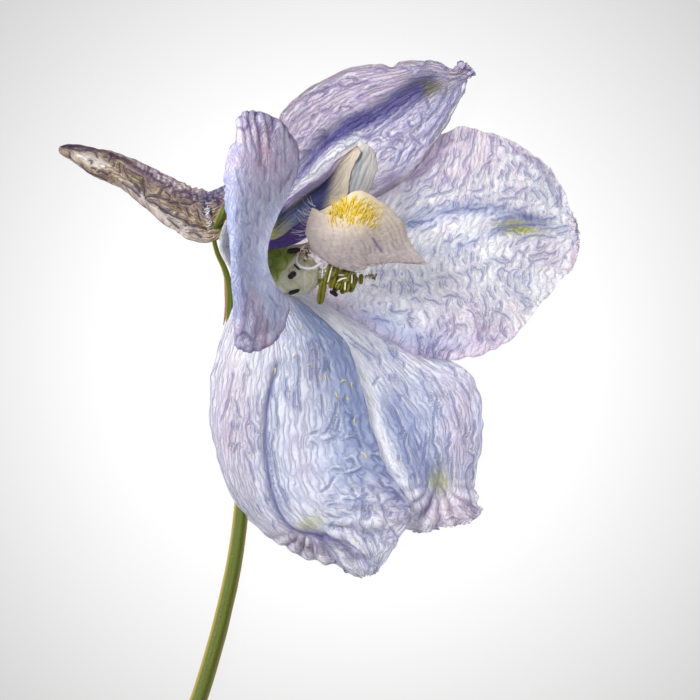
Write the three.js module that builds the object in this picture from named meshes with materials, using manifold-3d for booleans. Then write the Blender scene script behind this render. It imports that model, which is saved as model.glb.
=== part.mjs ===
// A single delphinium floret on its cut stalk, lying on a flat surface as it would on a table.
// Units are millimetres, +Z is up and the surface is z = 0. +Y runs from the cut end of the stalk towards
// the tip of the upper sepal, and +X from the spur towards the far side sepal. The origin is on the surface,
// at the middle of the floret's footprint.
import * as THREE from "three";
import { mergeVertices } from "three/addons/utils/BufferGeometryUtils.js";
import Module from "manifold-3d";

const wasm = await Module();
wasm.setup();

// ---------------------------------------------------------------- driving dimensions
const SEPAL_THICK = 0.6;
const PETAL_THICK = 0.6;
const SEAT_GAP = 0.3; // between a petal's foot and what carries it
const RING_CENTRE = new THREE.Vector3(-10.2, 19.8, 4.8); // middle of the receptacle, where the sepals sit
const FLORAL_AXIS = new THREE.Vector3(0.85, -0.52, 0.06).normalize(); // out of the flower's mouth
const RING_UP = new THREE.Vector3(0, 0, 1); // towards the near side sepal
const RING_SIDE = new THREE.Vector3(0.52, 0.85, 0).normalize(); // towards the upper sepal
const SEPAL_RING = 1.95; // radius of the circle that the sepals' feet stand on
const PETAL_RING = 1.7; // the same for the petals, further forward
const PETAL_START = 2.3; // how far in front of the ring's middle the petals start
const RECEPTACLE_RADIUS = SEPAL_RING - SEPAL_THICK / 2 - SEAT_GAP;
const BOSS_START = 2.2; // where the stamens' common foot starts, along the floral axis

// Bearings round the floral axis, in degrees from RING_UP towards RING_SIDE
const BEARING = { near: 18, lowerNear: -54, lowerFar: -126, far: 162 };

// ---------------------------------------------------------------- helpers
const vec = ([x, y, z]) => new THREE.Vector3(x, y, z);
const smooth = (points) => new THREE.CatmullRomCurve3(points.map(vec), false, "catmullrom", 0.5);
const degrees = THREE.MathUtils.degToRad;

// A point on a circle round the floral axis: how far forward, at what radius and bearing.
function ringPoint(forward, radius, bearing) {
  const a = degrees(bearing);
  return RING_CENTRE.clone()
    .addScaledVector(FLORAL_AXIS, forward)
    .addScaledVector(RING_UP, radius * Math.cos(a))
    .addScaledVector(RING_SIDE, radius * Math.sin(a))
    .toArray();
}

// The foot of a sepal or petal: one station of left, middle and right points on that circle.
function footStation(forward, radius, bearing, halfWidth) {
  const spread = THREE.MathUtils.radToDeg(halfWidth / radius);
  return [bearing + spread, bearing, bearing - spread].map((b) => ringPoint(forward, radius, b));
}

function geometryFrom(points, triangles) {
  const g = new THREE.BufferGeometry();
  g.setAttribute("position", new THREE.Float32BufferAttribute(points.flatMap((p) => p.toArray()), 3));
  g.setIndex(triangles);
  return g;
}

function solidOf(geometry) {
  const bare = geometry.clone();
  bare.deleteAttribute("normal");
  bare.deleteAttribute("uv");
  const merged = mergeVertices(bare, 1e-4);
  const mesh = new wasm.Mesh({
    numProp: 3,
    vertProperties: new Float32Array(merged.attributes.position.array),
    triVerts: new Uint32Array(merged.index.array),
  });
  const solid = new wasm.Manifold(mesh);
  if (solid.volume() > 0) return solid;
  for (let i = 0; i < mesh.triVerts.length; i += 3) {
    [mesh.triVerts[i + 1], mesh.triVerts[i + 2]] = [mesh.triVerts[i + 2], mesh.triVerts[i + 1]];
  }
  return new wasm.Manifold(mesh);
}

function geometryOf(solid) {
  const mesh = solid.getMesh();
  const g = new THREE.BufferGeometry();
  const points = new Float32Array(mesh.numVert * 3);
  for (let i = 0; i < mesh.numVert; i++) {
    points.set(mesh.vertProperties.subarray(i * mesh.numProp, i * mesh.numProp + 3), i * 3);
  }
  g.setAttribute("position", new THREE.BufferAttribute(points, 3));
  g.setIndex(new THREE.BufferAttribute(mesh.triVerts, 1));
  g.computeVertexNormals();
  return g;
}

const largest = (solid) => solid.decompose().sort((a, b) => b.volume() - a.volume())[0];

// Flattens the underside where it would dip below the surface, so that the piece rests on a flat spot.
const BELOW = solidOf(new THREE.BoxGeometry(200, 200, 20).translate(0, 0, -10));
const restOnSurface = (solid) => largest(solid.subtract(BELOW));

// ---------------------------------------------------------------- a blade: sepal or petal
// stations run from the foot to the tip, each with its left margin, midrib and right margin point.
// relief(u, v) lifts the blade off that smooth sheet, in millimetres along its normal.
function bladeSheet(stations, relief) {
  const columns = [0, 1, 2].map((k) => smooth(stations.map((s) => s[k])));
  const plain = (u, v) => {
    const [left, middle, right] = columns.map((c) => c.getPoint(u));
    return left
      .multiplyScalar((v * (v - 1)) / 2)
      .addScaledVector(middle, 1 - v * v)
      .addScaledVector(right, (v * (v + 1)) / 2);
  };
  const step = 1e-3;
  const clamp = THREE.MathUtils.clamp;
  return (u, v) => {
    const along = plain(clamp(u + step, 0, 1), v).sub(plain(clamp(u - step, 0, 1), v));
    const across = plain(u, clamp(v + step, -1, 1)).sub(plain(u, clamp(v - step, -1, 1)));
    const normal = across.cross(along).normalize();
    return { point: plain(u, v).addScaledVector(normal, relief(u, v)), normal };
  };
}

function bladeSolid({ stations, relief = () => 0, along, across, thick }) {
  const sheet = bladeSheet(stations, relief);
  const row = across + 1;
  const grid = [];
  for (let i = 0; i <= along; i++) {
    for (let j = 0; j <= across; j++) grid.push(sheet(i / along, -1 + (2 * j) / across).point);
  }
  const at = (i, j) => grid[i * row + j];
  const faces = [];
  const normals = grid.map((_, n) => {
    const i = Math.floor(n / row);
    const j = n % row;
    const down = at(Math.min(i + 1, along), j).clone().sub(at(Math.max(i - 1, 0), j));
    const over = at(i, Math.min(j + 1, across)).clone().sub(at(i, Math.max(j - 1, 0)));
    return over.cross(down).normalize();
  });
  const points = [1, -1].flatMap((side) =>
    grid.map((p, n) => p.clone().addScaledVector(normals[n], (side * thick) / 2)),
  );
  const back = grid.length;
  for (let i = 0; i < along; i++) {
    for (let j = 0; j < across; j++) {
      const [a, b, c, d] = [i * row + j, i * row + j + 1, (i + 1) * row + j + 1, (i + 1) * row + j];
      faces.push(a, b, c, a, c, d, back + a, back + c, back + b, back + a, back + d, back + c);
    }
  }
  const rim = [];
  for (let j = 0; j < across; j++) rim.push(j);
  for (let i = 0; i < along; i++) rim.push(i * row + across);
  for (let j = across; j > 0; j--) rim.push(along * row + j);
  for (let i = along; i > 0; i--) rim.push(i * row);
  rim.forEach((a, k) => {
    const b = rim[(k + 1) % rim.length];
    faces.push(a, back + a, back + b, a, back + b, b);
  });
  return solidOf(geometryFrom(points, faces));
}

// ---------------------------------------------------------------- a tapering round or flattened rod
// rings are [centre, half width, half height] from one end to the other; flat sections have the two differ.
function rodSolid(rings, sides, steps, crumple = () => 1) {
  const path = smooth(rings.map((r) => r[0]));
  const sizes = new THREE.CatmullRomCurve3(
    rings.map((r) => new THREE.Vector3(r[1], r[2] ?? r[1], 0)), false, "catmullrom", 0.5);
  const points = [];
  const faces = [];
  let side = null;
  for (let i = 0; i <= steps; i++) {
    const t = i / steps;
    const centre = path.getPoint(t);
    const ahead = path.getTangent(t);
    // The section's width axis stays level unless the rod stands upright, so that it never twists.
    const level = new THREE.Vector3(0, 0, 1).cross(ahead);
    const steady = level.length() > 0.2 || !side;
    side = steady ? level.normalize() : side.addScaledVector(ahead, -side.dot(ahead)).normalize();
    const up = ahead.clone().cross(side).normalize();
    const size = sizes.getPoint(t);
    for (let k = 0; k < sides; k++) {
      const a = (2 * Math.PI * k) / sides;
      const swell = crumple(t, a);
      points.push(centre.clone()
        .addScaledVector(side, size.x * swell * Math.cos(a))
        .addScaledVector(up, size.y * swell * Math.sin(a)));
    }
    if (i === steps) break;
    for (let k = 0; k < sides; k++) {
      const [a, b] = [i * sides + k, i * sides + ((k + 1) % sides)];
      faces.push(a, b, b + sides, a, b + sides, a + sides);
    }
  }
  const last = steps * sides;
  for (let k = 1; k < sides - 1; k++) faces.push(0, k + 1, k, last, last + k, last + k + 1);
  return solidOf(geometryFrom(points, faces));
}

// ---------------------------------------------------------------- stem with its receptacle
const STEM_RINGS = [
  [[-16.5, -40.4, 0.9], 1.03],
  [[-14.6, -36.0, 0.9], 1.0],
  [[-12.7, -29.8, 0.9], 0.98],
  [[-11.4, -24.7, 0.9], 0.95],
  [[-10.35, -19.7, 0.92], 0.92],
  [[-9.6, -14.4, 0.9], 0.88],
  [[-9.2, -9.0, 0.9], 0.84],
  [[-9.1, -4.0, 0.95], 0.8],
  [[-9.5, 1.0, 1.05], 0.75],
  [[-10.2, 6.0, 1.3], 0.68],
  [[-10.8, 10.0, 1.8], 0.58],
  [[-10.8, 13.0, 2.4], 0.5],
  [[-11.4, 15.6, 3.0], 0.36],
  [[-12.3, 17.6, 3.6], 0.3],
  [[-12.75, 19.4, 4.2], 0.28],
  [[-12.75, 20.7, 4.6], 0.34],
  [[-12.1, 21.2, 4.75], 0.55],
];

function stem() {
  const stalk = rodSolid(STEM_RINGS, 8, 40);
  const profile = [
    [-2.6, 0.1], [-2.3, 0.5], [-1.4, 0.95], [-0.5, RECEPTACLE_RADIUS], [0.5, RECEPTACLE_RADIUS],
    [1.2, 1.1], [BOSS_START - SEAT_GAP, 0.75],
  ];
  const receptacle = rodSolid(profile.map(([f, r]) => [ringPoint(f, 0, 0), r]), 10, 10);
  return restOnSurface(stalk.add(receptacle));
}

// ---------------------------------------------------------------- sepals
const LATERAL_FAR = [
  footStation(0, SEPAL_RING, BEARING.far, 0.85).reverse(),
  [[-5.6, 20.4, 1.5], [-5.6, 18.0, 1.2], [-6.0, 15.8, 1.3]],
  [[1.4, 23.2, 1.3], [1.6, 17.4, 1.0], [0.0, 12.0, 2.0]],
  [[7.4, 27.2, 1.3], [8.0, 19.2, 1.1], [5.6, 8.8, 2.3]],
  [[12.8, 30.6, 1.3], [13.8, 20.2, 1.3], [12.0, 5.3, 2.1]],
  [[17.0, 32.9, 1.5], [19.2, 20.6, 1.2], [17.2, 4.9, 1.4]],
  [[22.8, 31.2, 0.8], [24.2, 20.8, 0.6], [22.6, 7.1, 0.6]],
  [[27.7, 27.9, 0.5], [28.0, 20.6, 0.15], [27.1, 12.1, 0.3]],
  [[29.9, 23.4, 0.4], [30.3, 20.3, 0.15], [30.5, 16.2, 0.3]],
  [[30.95, 21.1, 0.35], [31.1, 19.8, 0.2], [31.2, 18.4, 0.3]],
];

const LATERAL_NEAR = [
  footStation(0, SEPAL_RING, BEARING.near, 0.85),
  [[-7.7, 19.9, 8.6], [-8.6, 17.9, 8.9], [-9.2, 16.4, 8.0]],
  [[-5.5, 21.6, 10.0], [-6.5, 16.9, 10.2], [-4.9, 13.3, 9.4]],
  [[-3.5, 25.0, 12.0], [-6.6, 17.0, 12.8], [-3.7, 11.4, 11.0]],
  [[-2.45, 28.2, 14.0], [-6.9, 17.6, 15.6], [-4.0, 9.6, 12.8]],
  [[-2.9, 30.9, 16.2], [-7.5, 18.2, 18.2], [-4.8, 7.6, 14.8]],
  [[-5.0, 33.4, 18.2], [-8.4, 19.0, 20.6], [-6.2, 6.3, 16.8]],
  [[-7.8, 34.4, 19.6], [-9.4, 20.0, 22.4], [-8.1, 5.7, 18.2]],
  [[-9.6, 33.0, 19.6], [-10.3, 21.0, 23.2], [-9.8, 7.0, 18.6]],
  [[-10.3, 30.2, 20.4], [-10.9, 22.0, 23.0], [-9.4, 9.8, 19.4]],
  [[-10.8, 27.4, 21.0], [-11.0, 22.6, 22.4], [-9.5, 13.0, 20.4]],
];

const LOWER_NEAR = [
  footStation(0, SEPAL_RING, BEARING.lowerNear, 0.85).reverse(),
  [[-11.9, 17.9, 5.6], [-10.0, 16.9, 4.5], [-8.0, 16.0, 3.6]],
  [[-11.0, 16.0, 5.4], [-8.6, 14.9, 4.4], [-5.8, 13.7, 3.3]],
  [[-9.6, 13.4, 4.9], [-6.6, 12.6, 4.3], [-2.4, 11.9, 3.4]],
  [[-10.7, 10.6, 4.2], [-6.0, 9.8, 4.3], [0.6, 9.4, 3.7]],
  [[-12.3, 6.3, 3.8], [-5.6, 5.9, 4.5], [3.3, 6.6, 3.9]],
  [[-13.2, 1.5, 3.4], [-5.9, 1.4, 4.0], [5.0, 1.6, 3.9]],
  [[-13.2, -3.5, 3.2], [-6.2, -3.8, 3.7], [6.3, -3.5, 3.7]],
  [[-12.0, -8.0, 3.0], [-5.9, -8.8, 3.3], [7.9, -8.2, 3.3]],
  [[-9.8, -12.7, 2.8], [-4.2, -13.0, 2.9], [10.7, -12.3, 2.8]],
  [[-6.0, -16.5, 1.6], [-0.6, -16.2, 1.9], [10.9, -14.2, 2.3]],
  [[-2.1, -18.9, 0.8], [2.6, -18.2, 1.0], [9.4, -16.9, 1.2]],
  [[1.6, -19.9, 0.4], [4.6, -20.2, 0.5], [8.1, -19.0, 0.5]],
  [[3.9, -21.1, 0.3], [5.4, -21.2, 0.28], [7.0, -20.7, 0.3]],
];

const LOWER_FAR = [
  footStation(0, SEPAL_RING, BEARING.lowerFar, 0.8).reverse(),
  [[-9.4, 15.6, 2.9], [-8.0, 15.4, 1.9], [-7.0, 15.8, 1.1]],
  [[-5.6, 12.6, 2.0], [-4.4, 12.6, 1.5], [-3.0, 12.9, 1.1]],
  [[-1.7, 9.6, 1.6], [0.6, 10.2, 1.3], [3.0, 10.4, 1.1]],
  [[0.2, 5.8, 1.7], [4.6, 6.8, 1.3], [8.4, 8.0, 1.1]],
  [[1.8, 1.2, 1.7], [8.0, 2.2, 1.9], [14.2, 5.5, 1.0]],
  [[3.3, -3.6, 1.6], [11.0, -2.0, 2.4], [18.5, 2.6, 1.3]],
  [[4.8, -7.8, 1.5], [12.8, -6.0, 2.4], [19.5, -3.0, 1.3]],
  [[6.8, -11.2, 1.1], [14.0, -9.6, 1.6], [18.8, -9.0, 0.9]],
  [[8.8, -14.2, 0.6], [14.6, -12.8, 0.9], [18.9, -12.0, 0.7]],
  [[10.8, -15.8, 0.3], [15.0, -14.6, 0.5], [19.4, -13.6, 0.4]],
  [[12.6, -16.0, 0.28], [15.2, -15.3, 0.3], [18.0, -14.9, 0.3]],
];

const UPPER = [
  [[-14.6, 24.6, 5.2], [-14.3, 23.3, 5.2], [-13.8, 21.9, 5.0]],
  [[-12.4, 25.3, 5.6], [-11.8, 23.7, 5.2], [-11.2, 22.2, 4.9]],
  [[-10.3, 26.4, 6.3], [-9.5, 24.0, 5.0], [-9.5, 21.85, 4.6]],
  [[-7.6, 28.4, 7.1], [-5.8, 25.0, 4.7], [-4.6, 21.9, 3.0]],
  [[-5.8, 31.2, 8.0], [-2.4, 27.2, 4.6], [1.2, 22.6, 2.6]],
  [[-4.3, 34.7, 8.4], [0.6, 30.2, 4.8], [6.6, 24.2, 2.5]],
  [[-1.8, 37.0, 8.2], [3.7, 33.1, 4.8], [11.2, 27.3, 2.6]],
  [[3.0, 39.5, 7.4], [7.3, 35.4, 4.6], [14.3, 31.6, 2.8]],
  [[8.0, 40.4, 6.2], [10.9, 37.1, 4.2], [16.3, 35.0, 2.6]],
  [[12.8, 40.8, 4.8], [14.1, 38.3, 3.6], [17.4, 37.2, 2.4]],
  [[15.8, 40.2, 3.6], [16.5, 39.1, 3.0], [17.9, 38.4, 2.2]],
  [[17.3, 40.0, 3.0], [17.7, 39.5, 2.6], [18.5, 39.0, 2.2]],
];

const SPUR_RINGS = [
  [[-31.35, 30.45, 0.35], 0.3, 0.3],
  [[-30.8, 30.2, 0.5], 0.75, 0.6],
  [[-29.2, 29.7, 0.8], 1.2, 0.9],
  [[-27.2, 28.8, 1.4], 1.75, 1.0],
  [[-25.0, 28.0, 2.0], 1.95, 1.1],
  [[-22.6, 26.75, 2.6], 2.0, 1.2],
  [[-20.2, 25.2, 3.2], 2.15, 1.3],
  [[-17.6, 23.7, 3.9], 2.6, 1.4],
  [[-15.4, 22.7, 4.6], 2.9, 1.4],
  [[-14.2, 22.2, 5.0], 2.6, 1.2],
];

// Raised and sunk lines that run from foot to tip, and a margin that waves up and down.
const ribs = (count, height) => (u, v) => height * Math.sin(Math.PI * count * v) * Math.sin(Math.PI * u);
const wavyMargin = (waves, height, phase = 0) => (u, v) =>
  height * Math.abs(v) ** 3 * Math.sin(2 * Math.PI * (waves * u + phase * Math.sign(v)));
const sum = (...parts) => (u, v) => parts.reduce((total, f) => total + f(u, v), 0);
// A keel: the narrow groove where a sepal is folded along its midrib.
const keel = (depth, width, offset = 0) => (u, v) =>
  -depth * Math.exp(-(((v - offset) / width) ** 2)) * Math.sin(Math.PI * Math.min(1, u * 1.2));

function sepal(stations, relief, along = 20, across = 10) {
  return restOnSurface(bladeSolid({ stations, relief, along, across, thick: SEPAL_THICK }));
}

function upperSepalWithSpur() {
  const blade = bladeSolid({
    stations: UPPER,
    relief: sum(keel(0.7, 0.2, 0.1), wavyMargin(4, 0.25)),
    along: 22,
    across: 12,
    thick: SEPAL_THICK,
  });
  const wrinkled = (t, a) => 1 + 0.07 * Math.sin(31 * t + 2 * Math.sin(a)) + 0.05 * Math.sin(3 * a + 17 * t);
  const spur = rodSolid(SPUR_RINGS, 12, 22, wrinkled);
  return restOnSurface(blade.add(spur));
}

// ---------------------------------------------------------------- petals of the bee
const UPPER_PETAL_NEAR = [
  footStation(PETAL_START, PETAL_RING, 62, 0.55),
  [[-6.2, 20.9, 6.6], [-6.0, 19.9, 6.5], [-5.7, 19.0, 6.8]],
  [[-4.8, 23.2, 7.0], [-3.6, 22.0, 5.9], [-2.6, 20.8, 6.9]],
  [[-2.6, 25.1, 7.3], [-1.2, 23.9, 5.8], [-0.3, 22.7, 7.5]],
  [[0.2, 27.0, 7.8], [1.3, 26.0, 6.2], [2.0, 24.4, 8.4]],
  [[2.4, 29.0, 8.2], [2.9, 28.2, 7.3], [3.5, 26.8, 8.8]],
  [[4.4, 30.5, 8.5], [4.6, 30.2, 8.3], [4.9, 29.7, 8.7]],
];

const UPPER_PETAL_FAR = [
  footStation(PETAL_START, PETAL_RING, 118, 0.55),
  [[-5.2, 20.2, 4.0], [-5.0, 19.4, 3.8], [-4.7, 18.6, 3.9]],
  [[-2.0, 22.4, 4.2], [-1.2, 21.2, 3.8], [-0.4, 20.0, 4.2]],
  [[1.4, 25.0, 4.6], [2.4, 23.4, 4.4], [3.6, 22.0, 4.8]],
  [[3.2, 27.6, 5.4], [4.7, 26.2, 5.4], [5.9, 25.0, 5.8]],
  [[4.0, 29.6, 6.2], [5.4, 28.4, 6.6], [6.8, 27.6, 6.4]],
  [[4.9, 30.7, 6.6], [5.8, 30.0, 7.0], [6.7, 29.2, 6.7]],
];

const LOWER_PETAL_NEAR = [
  footStation(PETAL_START, PETAL_RING, -4, 0.5),
  [[-5.0, 19.2, 8.0], [-4.6, 18.4, 8.0], [-4.2, 17.7, 8.0]],
  [[-2.4, 21.3, 9.0], [-1.8, 20.6, 9.1], [-1.3, 19.8, 9.0]],
  [[2.0, 23.6, 10.6], [1.4, 22.0, 11.0], [-0.9, 22.9, 10.4]],
  [[4.6, 25.0, 10.8], [3.6, 21.4, 11.9], [-1.5, 21.0, 10.2]],
  [[7.4, 23.6, 10.4], [4.6, 20.0, 11.8], [-1.6, 19.4, 9.9]],
  [[10.0, 21.2, 9.6], [5.2, 18.6, 11.0], [-0.6, 17.6, 9.5]],
  [[11.0, 18.4, 9.0], [5.6, 17.4, 10.2], [1.2, 16.3, 9.3]],
  [[12.7, 16.5, 8.3], [6.6, 16.6, 9.6], [3.2, 15.6, 9.1]],
  [[11.6, 16.3, 8.6], [7.2, 16.3, 9.3], [4.8, 15.2, 9.0]],
];

const LOWER_PETAL_FAR = [
  footStation(PETAL_START, PETAL_RING, 182, 0.5).reverse(),
  [[-3.4, 18.6, 2.9], [-3.2, 18.0, 2.9], [-2.9, 17.4, 2.8]],
  [[0.6, 19.6, 3.6], [0.9, 18.9, 3.5], [1.2, 18.2, 3.3]],
  [[3.4, 21.0, 4.2], [4.0, 19.4, 4.4], [4.4, 17.6, 4.0]],
  [[6.2, 21.2, 4.0], [6.4, 19.2, 4.6], [6.2, 17.0, 3.9]],
  [[8.6, 20.2, 3.6], [8.4, 18.6, 4.2], [8.0, 17.0, 3.6]],
  [[9.6, 18.8, 3.4], [9.4, 18.0, 3.6], [9.0, 17.2, 3.4]],
];

function petal(stations, along = 12, across = 6) {
  return bladeSolid({ stations, along, across, thick: PETAL_THICK });
}

// ---------------------------------------------------------------- stamens and carpels
// The bundle leaves the receptacle along the floral axis and then bends level, towards +X.
const BUNDLE_PATH = [
  [-8.3, 18.65, 4.93], [-5.6, 17.0, 5.1], [-2.9, 15.3, 5.3], [0.6, 14.6, 5.9], [4.4, 14.6, 6.3],
];
const BUNDLE = smooth(BUNDLE_PATH);
const BOSS = [
  [BUNDLE.getPoint(0), 0.85], [BUNDLE.getPoint(0.16), 1.25], [BUNDLE.getPoint(0.32), 2.2],
  [BUNDLE.getPoint(0.46), 2.65], [BUNDLE.getPoint(0.56), 2.45], [BUNDLE.getPoint(0.66), 1.55],
].map(([p, r]) => [p.toArray(), r]);
const CARPEL_BORE = 1.0; // radius of the space in the boss that the carpels stand in

// Anthers that the eye picks out: the middle, the direction it points in and the length of each.
const SHOWN_ANTHERS = [
  { at: [0.1, 12.9, 6.0], lie: [0.25, 1, 0.1], long: 2.7 },
  { at: [0.95, 15.0, 6.9], lie: [0.45, 1, 0.1], long: 2.6 },
  { at: [1.85, 15.1, 7.0], lie: [0.4, 1, 0.15], long: 2.5 },
  { at: [2.75, 14.3, 6.6], lie: [0.35, 1, 0.1], long: 2.2 },
  { at: [3.5, 14.0, 6.7], lie: [0.3, 1, 0], long: 2.4 },
  { at: [4.25, 14.4, 6.6], lie: [0.3, 1, 0.1], long: 2.0 },
  { at: [5.0, 14.5, 6.3], lie: [0.1, 1, 0], long: 1.3 },
  { at: [-3.2, 18.0, 7.1], lie: [1, 0.05, 0.1], long: 1.8 },
  { at: [-3.4, 15.0, 8.2], lie: [0.7, 0.7, 0], long: 1.3 },
  { at: [-3.1, 12.9, 7.0], lie: [1, 0.3, 0.1], long: 1.5 },
  { at: [1.7, 12.8, 5.4], lie: [0.8, -0.6, 0], long: 1.3 },
];
const HIDDEN_ANTHERS = 9; // the rest of the ring, on the side away from the eye
const FILAMENT_FOOT = 1.75; // how far from the bundle's middle line the filaments leave the boss
const BORE_PATH = [...BUNDLE_PATH.slice(1), [8.0, 14.8, 6.5]];

function anther({ at, lie, long }) {
  const half = vec(lie).normalize().multiplyScalar(long / 2);
  const middle = vec(at);
  const ring = (k) => middle.clone().addScaledVector(half, k).toArray();
  return rodSolid([[ring(-1), 0.16], [ring(-0.6), 0.42], [ring(0.6), 0.42], [ring(1), 0.16]], 6, 3);
}

function filament(from, to, bow) {
  const middle = vec(from).add(vec(to)).multiplyScalar(0.5).add(vec(bow));
  return rodSolid([[from, 0.34], [middle.toArray(), 0.28], [to, 0.24]], 4, 3);
}

function stamens() {
  let body = rodSolid(BOSS, 12, 10);
  const anthers = SHOWN_ANTHERS.map((a) => ({ ...a, bow: [0, 0, 0.4] }));
  for (let i = 0; i < HIDDEN_ANTHERS; i++) {
    const bearing = degrees(150 + (i * 200) / (HIDDEN_ANTHERS - 1));
    const reach = 1.2 + 2.6 * ((i * 0.382) % 1);
    anthers.push({
      at: [0.4 + reach, 14.6 + 2.1 * Math.sin(bearing + 0.4), 5.9 + 2.0 * Math.cos(bearing + 0.1)],
      lie: [0.4, 1, 0.2 * Math.sin(3 * i)],
      long: 2.1,
      bow: [0, 0, -0.3],
    });
  }
  for (const a of anthers) {
    const nearest = vec(a.at).clone();
    const t = THREE.MathUtils.clamp((nearest.x + 7) / 12, 0.3, 0.56);
    const heart = BUNDLE.getPoint(t);
    const outward = nearest.clone().sub(heart);
    const tangent = BUNDLE.getTangent(t);
    outward.addScaledVector(tangent, -outward.dot(tangent)).setLength(FILAMENT_FOOT);
    body = body.add(filament(heart.add(outward).toArray(), a.at, a.bow)).add(anther(a));
  }
  const bore = rodSolid(BORE_PATH.map((p) => [p, CARPEL_BORE + SEAT_GAP]), 8, 8);
  return largest(body.subtract(bore));
}

function carpels() {
  let body = null;
  for (let i = 0; i < 3; i++) {
    const a = degrees(90 + 120 * i);
    const off = (x, y, z, r) => [x + 0.2 * r * Math.cos(a), y + r * Math.cos(a), z + r * Math.sin(a)];
    const follicle = rodSolid([
      [off(-4.6, 16.35, 5.15, 0.3), 0.42], [off(-2.9, 15.3, 5.3, 0.42), 0.52],
      [off(0.6, 14.6, 5.9, 0.45), 0.5], [off(3.6, 14.6, 6.2, 0.35), 0.34],
      [off(5.4, 14.75, 6.35, 0.45), 0.2], [off(6.5, 14.95, 6.4, 0.6), 0.18],
    ], 6, 7);
    body = body ? body.add(follicle) : follicle;
  }
  return largest(body);
}

// ---------------------------------------------------------------- the floret
const MATERIALS = {
  stalk: { color: 0x74863a, roughness: 0.55 },
  sepal: { color: 0xb9c0e4, roughness: 0.6 },
  hood: { color: 0xa8a0d2, roughness: 0.6 },
  blue: { color: 0x5a5f9a, roughness: 0.55 },
  cream: { color: 0xd9d0c6, roughness: 0.6 },
  anther: { color: 0x7d7413, roughness: 0.7 },
  carpel: { color: 0x9aa05c, roughness: 0.6 },
};

const RELIEF = {
  lateralNear: sum(ribs(4, 0.12), wavyMargin(5, 0.4, 0.2)),
  lateralFar: sum(ribs(5, 0.12), wavyMargin(6, 0.25)),
  lowerNear: sum(keel(0.35, 0.12), ribs(4, 0.1), wavyMargin(6, 0.25)),
  lowerFar: sum(ribs(4, 0.12), wavyMargin(5, 0.2)),
};

const PIECES = [
  ["stem", stem, "stalk"],
  ["upper_sepal_with_spur", upperSepalWithSpur, "hood"],
  ["lateral_sepal_near", () => sepal(LATERAL_NEAR, RELIEF.lateralNear), "sepal"],
  ["lateral_sepal_far", () => sepal(LATERAL_FAR, RELIEF.lateralFar, 22, 12), "sepal"],
  ["lower_sepal_near", () => sepal(LOWER_NEAR, RELIEF.lowerNear, 22, 12), "sepal"],
  ["lower_sepal_far", () => sepal(LOWER_FAR, RELIEF.lowerFar), "sepal"],
  ["upper_petal_near", () => petal(UPPER_PETAL_NEAR), "blue"],
  ["upper_petal_far", () => petal(UPPER_PETAL_FAR), "cream"],
  ["lower_petal_near", () => petal(LOWER_PETAL_NEAR, 18, 10), "cream"],
  ["lower_petal_far", () => petal(LOWER_PETAL_FAR), "cream"],
  ["stamens", stamens, "anther"],
  ["carpels", carpels, "carpel"],
];

const floret = new THREE.Group();
for (const [name, make, look] of PIECES) {
  const material = new THREE.MeshStandardMaterial({
    ...MATERIALS[look], metalness: 0, side: THREE.DoubleSide,
  });
  const mesh = new THREE.Mesh(geometryOf(make()), material);
  mesh.name = name;
  floret.add(mesh);
}

export default floret;
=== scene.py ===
# A single delphinium floret on its cut stalk, lying on a glowing pale table and seen from straight above.
# Shapes are worked out in millimetres in the part's own frame: +Z up from the table, +Y towards the hood's
# tip, +X towards the far side sepal. They become metres only where a mesh is made.
import math

import bpy
import numpy as np
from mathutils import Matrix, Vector


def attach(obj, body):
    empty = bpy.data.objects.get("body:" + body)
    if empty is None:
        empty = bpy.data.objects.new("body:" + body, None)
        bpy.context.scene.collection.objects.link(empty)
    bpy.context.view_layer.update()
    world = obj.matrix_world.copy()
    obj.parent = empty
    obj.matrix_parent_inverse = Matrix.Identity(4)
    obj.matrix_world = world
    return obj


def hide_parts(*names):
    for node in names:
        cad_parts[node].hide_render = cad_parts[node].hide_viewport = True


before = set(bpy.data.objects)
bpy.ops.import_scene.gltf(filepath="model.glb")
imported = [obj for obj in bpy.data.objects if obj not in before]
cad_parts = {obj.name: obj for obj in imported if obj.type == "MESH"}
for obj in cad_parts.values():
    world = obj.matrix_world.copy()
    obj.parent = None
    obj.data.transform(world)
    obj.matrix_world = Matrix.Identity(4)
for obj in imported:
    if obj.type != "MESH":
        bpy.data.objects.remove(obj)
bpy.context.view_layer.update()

MM = 0.001

# ---------------------------------------------------------------- driving dimensions, in millimetres
SEPAL_THICK = 0.24
PETAL_THICK = 0.3
RIM_THINNING = 0.55  # how much of a blade's thickness is gone at its margin
TABLE_CLEARANCE = 0.01  # nothing lies lower than this above the table
RING_CENTRE = np.array([-10.2, 19.8, 4.8])  # middle of the receptacle, where the sepals sit
FLORAL_AXIS = np.array([0.85, -0.52, 0.06]) / np.linalg.norm([0.85, -0.52, 0.06])
RING_UP = np.array([0.0, 0.0, 1.0])
RING_SIDE = np.array([0.52, 0.85, 0.0]) / np.linalg.norm([0.52, 0.85, 0.0])
SEPAL_RING = 1.95
SEPAL_FOOT = 0.85  # half the width of a sepal where it starts
PETAL_RING = 1.7
PETAL_START = 2.3
TABLE_HALF = 1500.0
GLOW_START, GLOW_END = 30.0, 60.0  # where the table's glow fades, away from the middle of the picture
VIEW_CENTRE = np.array([3.6, 6.0, 4.0])  # the middle of the picture
VIEW_WIDTH = 84.0  # what the picture takes in at that height
LENS = 500.0
SENSOR = 36.0


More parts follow.
